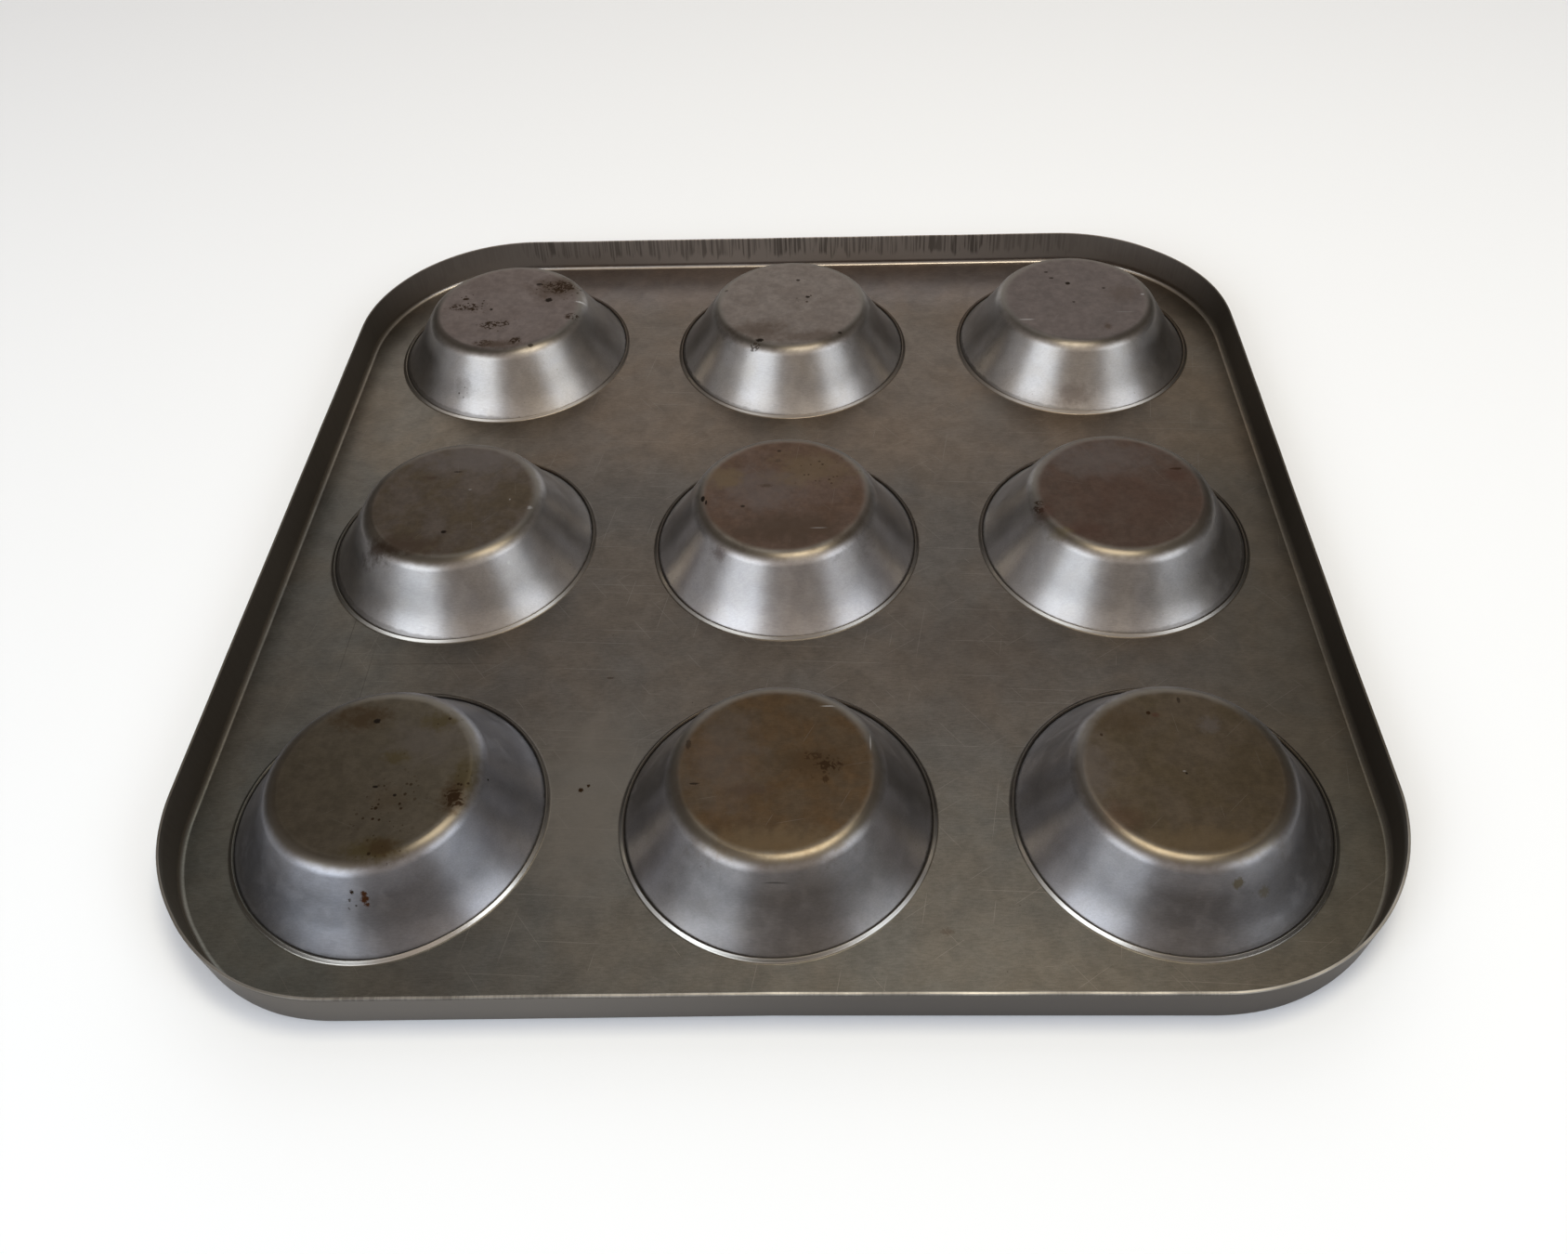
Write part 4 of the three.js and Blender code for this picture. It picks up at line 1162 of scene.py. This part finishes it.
def cup_material(name, look, finish, seed, brushing):
    """Bluish satin wall with a per-cup tone as painted shade and light, stained base with a painted highlight
    on the front of its rounding, and a grimy foot with painted shade in the seam.
    """
    material, wires, shader = new_material(name)
    wires.put(CUP_EDGE_TINT, shader.inputs["Specular Tint"])
    wires.put(brushing, shader.inputs["Anisotropic"])
    wires.put(UPRIGHT_SPREAD, shader.inputs["Anisotropic Rotation"])
    place = wires.millimetres()
    parts = wires.split(place)
    flat = wires.join(X=parts["X"], Y=wires.maths("SUBTRACT", parts["Y"], look.shift))
    out = wires.vector("LENGTH", flat, result="Value")
    in_front = wires.maths("DIVIDE", parts["Y"], out)
    ragged = wires.maths("SUBTRACT", wires.noise(place, 0.35, 4.0, 0.6), 0.5)
    grain = wires.use("Sheet grain", Position=place, Size=0.7)

    # Wall
    surface = Surface(wires, shader, tuple(finish.cup_steel), finish.cup_roughness, 0.97)
    film = wires.use("Stain cloud", Position=place, Size=14.0, Cover=0.45, Softness=0.22, Seed=seed)
    browned = wires.maths("MULTIPLY_ADD", film["Mask"], 0.35, look.film)
    surface.lay(browned, WALL_FILM, finish.cup_roughness + 0.03)
    # Per-cup tone of the steel, darker on the front row and lighter on the middle cup: painted shade and
    # light
    surface.lay(1.0, look.tone, blend="MULTIPLY")
    wear = wires.noise(place, 0.16, 6.0, 0.68, 0.5)
    surface.shade(wear, 0.07)
    surface.lay(wires.fade(wear, 0.48, 0.68), roughness=finish.cup_roughness + 0.05)
    few = 0.6 * look.film
    spots = wires.use("Specks", Position=place, Spacing=2.6, Size=0.30, Share=few, Seed=seed + 7.0)
    surface.lay(wires.times(spots["Mask"], 0.5), WALL_SPECK, 0.5)
    surface.shade(grain["Tone"], 0.10)

    # Stained base, carried on over the inner half of the rounding, which is rubbed clean in front and painted
    # brighter there as a highlight
    edge = wires.maths("MULTIPLY_ADD", ragged, 1.2, out)
    on_base = wires.fade(edge, 31.4, 27.6)
    surface.lay(wires.fade(edge, 33.6, 30.6), ROUNDING_TAN, 0.32, 0.85)
    cloud = wires.use("Stain cloud", Position=place, Size=11.0, Cover=0.5, Softness=0.14, Seed=seed + 2.0)
    stain = wires.mix(cloud["Mask"], look.stain, look.second)
    mottle = wires.fade(wires.noise(place, 0.26, 6.0, 0.66), 0.3, 0.7, 0.86, 1.14)
    rolled = wires.fade(grain["Tone"], 0.25, 0.75, 0.88, 1.12)
    stain = wires.mix(1.0, wires.mix(1.0, stain, mottle, "MULTIPLY"), rolled, "MULTIPLY")
    surface.lay(on_base, stain, 0.30, 0.92)
    specks = wires.use("Specks", Position=place, Spacing=3.2, Size=0.30, Share=look.specks, Seed=seed)
    surface.lay(wires.times(specks["Mask"], 0.7, on_base), BASE_SPECK, 0.6)
    # Lighter tan on the front of the rounding: rubbed wear that also paints in the highlight there
    rubbed_and_highlit = wires.times(wires.band(edge, 29.6, 2.6), wires.fade(in_front, -0.35, -0.85), look.rubbed_and_highlit)
    surface.lay(rubbed_and_highlit, RUBBED_HIGHLIGHT_TAN, 0.28, 0.95)

    # Grime at the foot, with painted shade where the seam's gap shows, deeper on one side
    angle, depth = look.seam
    toward = (math.sin(math.radians(angle)), -math.cos(math.radians(angle)), 0.0)
    side = wires.maths("DIVIDE", wires.vector("DOT_PRODUCT", flat, toward, result="Value"), out)
    reach = wires.maths("MULTIPLY_ADD", wires.fade(side, 0.3, 0.95), depth, 1.7)
    height = wires.maths("MULTIPLY_ADD", ragged, 1.2, parts["Z"])
    foot = wires.fade(height, reach, wires.maths("ADD", reach, 0.7), 1.0, 0.0)
    thickness = wires.fade(in_front, -0.9, -0.3, 0.35, 0.68)
    surface.lay(wires.times(foot, thickness), SEAM_GRIME_AND_SHADE, 0.5)

    # Scratches, marks and relief
    lay_scratches(surface, place, seed, CUP_SCRATCHES, 0.25, CUP_SCRATCH)
    lay_marks(surface, place, look.marks)
    surface.raise_by(grain["Height"], 0.003)
    surface.finish()
    return material


def floor_material(colour):
    """Plain matt floor."""
    material, wires, shader = new_material("Floor")
    for socket, value in (("Base Color", tuple(colour)), ("Roughness", 0.9), ("Specular IOR Level", 0.0)):
        wires.put(value, shader.inputs[socket])
    return material


# Stage
class Lamp(NamedTuple):
    """A soft lamp: its turn from the front and lift in degrees, its distance and size, how bright a mirror
    would show it, and its tint."""

    turn: float
    lift: float
    distance: float
    width: float
    height: float
    radiance: float
    tint: tuple


LAMPS = {
    "Left window": Lamp(-42.0, 30.0, 1.6, 1.00, 0.86, 3.05, (0.85, 0.93, 1.0)),
    "Left wall": Lamp(-74.0, 12.0, 1.6, 1.20, 0.90, 0.40, (0.95, 0.97, 1.0)),
    "Right window": Lamp(59.5, 33.0, 1.6, 0.80, 0.72, 2.55, (0.85, 0.93, 1.0)),
    "Right wall": Lamp(80.0, 16.0, 1.6, 0.80, 0.80, 0.15, (0.95, 0.97, 1.0)),
    "Warm overhead": Lamp(90.0, 81.5, 1.21, 0.36, 0.50, 8.0, (1.0, 0.89, 0.68)),
}
LAMP_AIM = Vector((0.0, 0.0, 0.02))
# Height from the floor up to the zenith, and brightness there
FAR_SKY = ((0.0, 1.0), (0.30, 1.15), (0.62, 1.15), (0.70, 0.60), (0.79, 0.60), (0.85, 1.25), (0.89, 1.15),
           (0.935, 0.45), (1.0, 0.45))
NEAR_SKY = ((0.0, 0.02), (0.10, 0.03), (0.30, 0.11), (0.45, 0.34), (0.60, 0.60), (0.70, 0.58), (0.80, 0.50),
            (1.0, 0.50))
FAR_TINT = (1.0, 1.0, 1.0)
NEAR_TINT = (1.0, 0.85, 0.73)


def sky_ramp(wires, up, stops, tint):
    """Colour of the sky by height, as a colour ramp with the given stops."""
    node = wires.add("ShaderNodeValToRGB", {"Fac": up})
    ramp = node.color_ramp
    while len(ramp.elements) < len(stops):
        ramp.elements.new(0.5)
    brightest = max(value for _, value in stops)
    for element, (position, value) in zip(ramp.elements, stops):
        element.position = position
        share = value / brightest
        element.color = (share * tint[0], share * tint[1], share * tint[2], 1.0)
    return wires.scaled(node.outputs["Color"], brightest)


def light_world(level):
    """A plain sky: bright wall beyond the pan, dim room on the near side."""
    world = bpy.data.worlds.new("Studio")
    bpy.context.scene.world = world
    world.use_nodes = True
    world.node_tree.nodes.clear()
    wires = Wiring(world.node_tree)
    way = wires.vector("NORMALIZE", wires.add("ShaderNodeTexCoord").outputs["Generated"])
    parts = wires.split(way)
    level_way = wires.vector("NORMALIZE", wires.join(X=parts["X"], Y=parts["Y"]))
    facing = wires.split(level_way)["Y"]
    beyond = wires.fade(facing, 0.80, 0.94)
    near = sky_ramp(wires, parts["Z"], NEAR_SKY, NEAR_TINT)
    far = sky_ramp(wires, parts["Z"], FAR_SKY, FAR_TINT)
    aside = wires.fade(facing, -0.45, 0.1)
    dimmed = wires.mix(wires.times(aside, 0.7), near, (0.0, 0.0, 0.0))
    sky = wires.mix(beyond, dimmed, far)
    background = wires.add("ShaderNodeBackground", {"Color": sky, "Strength": level})
    wires.add("ShaderNodeOutputWorld", {"Surface": background.outputs["Background"]})


def add_lamp(name, lamp, level):
    """A rectangular soft lamp that faces the pan."""
    data = bpy.data.lights.new(name, "AREA")
    data.shape = "RECTANGLE"
    data.size = lamp.width
    data.size_y = lamp.height
    data.energy = lamp.radiance * level * math.pi * lamp.width * lamp.height
    data.color = lamp.tint
    made = bpy.data.objects.new(name, data)
    turn, lift = math.radians(lamp.turn), math.radians(lamp.lift)
    way = Vector((math.sin(turn) * math.cos(lift), -math.cos(turn) * math.cos(lift), math.sin(lift)))
    made.location = LAMP_AIM + way * lamp.distance
    made.rotation_euler = (LAMP_AIM - made.location).to_track_quat("-Z", "Y").to_euler()
    bpy.context.scene.collection.objects.link(made)


def add_camera(setup):
    """The camera at the photograph's viewing angle."""
    lift, turn, roll = setup.camera_lift, setup.camera_turn, setup.camera_roll
    ahead = Vector((math.sin(turn) * math.cos(lift), math.cos(turn) * math.cos(lift), -math.sin(lift)))
    level = Vector((math.cos(turn), -math.sin(turn), 0.0))
    upright = level.cross(ahead)
    right = level * math.cos(roll) + upright * math.sin(roll)
    up = upright * math.cos(roll) - level * math.sin(roll)
    data = bpy.data.cameras.new("Camera")
    data.sensor_fit = "HORIZONTAL"
    data.sensor_width = SENSOR
    data.lens = setup.camera_lens
    data.shift_x, data.shift_y = setup.camera_shift
    data.clip_start = 0.01
    made = bpy.data.objects.new("Camera", data)
    place = Vector(setup.camera_target) - ahead * setup.camera_distance
    axes = Matrix((right, up, -ahead)).transposed().to_4x4()
    made.matrix_world = Matrix.Translation(place) @ axes
    bpy.context.scene.collection.objects.link(made)
    bpy.context.scene.camera = made


def add_floor(colour):
    """A wide pale floor just under the pan's flanges."""
    radius, drop = 6.0, 0.1 * MM
    bm = bmesh.new()
    bmesh.ops.create_circle(bm, cap_ends=True, segments=64, radius=radius)
    mesh = bpy.data.meshes.new("Floor")
    bm.to_mesh(mesh)
    bm.free()
    mesh.materials.append(floor_material(colour))
    made = bpy.data.objects.new("Floor", mesh)
    made.location.z = -drop
    bpy.context.scene.collection.objects.link(made)


# Operators
class MUFFINPAN_OT_stage(bpy.types.Operator):
    """Add the floor, the light and the camera"""

    bl_idname = "muffinpan.stage"
    bl_label = "Stage"

    def execute(self, context):
        setup = context.scene.muffinpan_stage
        context.scene.view_settings.view_transform = "Standard"
        add_floor(setup.floor_colour)
        light_world(setup.light_level)
        for name, lamp in LAMPS.items():
            add_lamp(name, lamp, setup.light_level)
        add_camera(setup)
        return {"FINISHED"}


class MUFFINPAN_OT_plate(bpy.types.Operator):
    """Make the pressed plate with its rim and turned hole edges"""

    bl_idname = "muffinpan.plate"
    bl_label = "Plate"

    def execute(self, context):
        material = plate_material(context.scene.muffinpan_finish)
        plate = finished_mesh("plate", plate_mesh(context.scene.muffinpan_sizes), material)
        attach(plate, BODY)
        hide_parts(PLATE)
        return {"FINISHED"}


class MUFFINPAN_OT_cups(bpy.types.Operator):
    """Make the drawn cups, each with its own stains"""

    bl_idname = "muffinpan.cups"
    bl_label = "Cups"

    def execute(self, context):
        finish = context.scene.muffinpan_finish
        for row in range(len(ROWS)):
            for column in range(len(COLUMNS)):
                name = cup_name(row, column)
                seed = ROW_SEED * row + COLUMN_SEED * column
                look = CUP_LOOKS[name]
                materials = []
                for part, brushing in CUP_BRUSHING.items():
                    title = f"Cup {part} {ROWS[row]} {COLUMNS[column]}"
                    materials.append(cup_material(title, look, finish, seed, brushing))
                mesh = cup_mesh(context.scene.muffinpan_sizes, seed, look.shift * MM)
                cup = finished_mesh(f"dressed_{name}", mesh, *materials)
                cup.location = cup_centre(row, column)
                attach(cup, BODY)
                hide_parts(name)
        return {"FINISHED"}


class MUFFINPAN_PT_sidebar(bpy.types.Panel):
    """Lists the pieces of the pan and what can be changed"""

    bl_idname = "MUFFINPAN_PT_sidebar"
    bl_label = "Muffin Pan"
    bl_space_type = "VIEW_3D"
    bl_region_type = "UI"
    bl_category = "Muffin Pan"

    def draw(self, context):
        for step in STEPS:
            self.layout.operator(step.bl_idname)
        for settings in SETTINGS:
            box = self.layout.box()
            owner = getattr(context.scene, settings)
            for name in owner.bl_rna.properties.keys():
                if name not in {"rna_type", "name"}:
                    box.prop(owner, name)


SETTINGS = {"muffinpan_sizes": PanSizes, "muffinpan_finish": PanFinish, "muffinpan_stage": StageSetup}
STEPS = (MUFFINPAN_OT_stage, MUFFINPAN_OT_plate, MUFFINPAN_OT_cups)
CLASSES = (*SETTINGS.values(), *STEPS, MUFFINPAN_PT_sidebar)


def register():
    for listed in CLASSES:
        bpy.utils.register_class(listed)
    for name, kind in SETTINGS.items():
        setattr(bpy.types.Scene, name, PointerProperty(type=kind))


def unregister():
    for name in SETTINGS:
        delattr(bpy.types.Scene, name)
    for listed in reversed(CLASSES):
        bpy.utils.unregister_class(listed)


def main():
    register()
    bpy.ops.muffinpan.stage()
    bpy.ops.muffinpan.plate()
    bpy.ops.muffinpan.cups()
    bpy.context.view_layer.update()


if __name__ == "__main__":
    main()
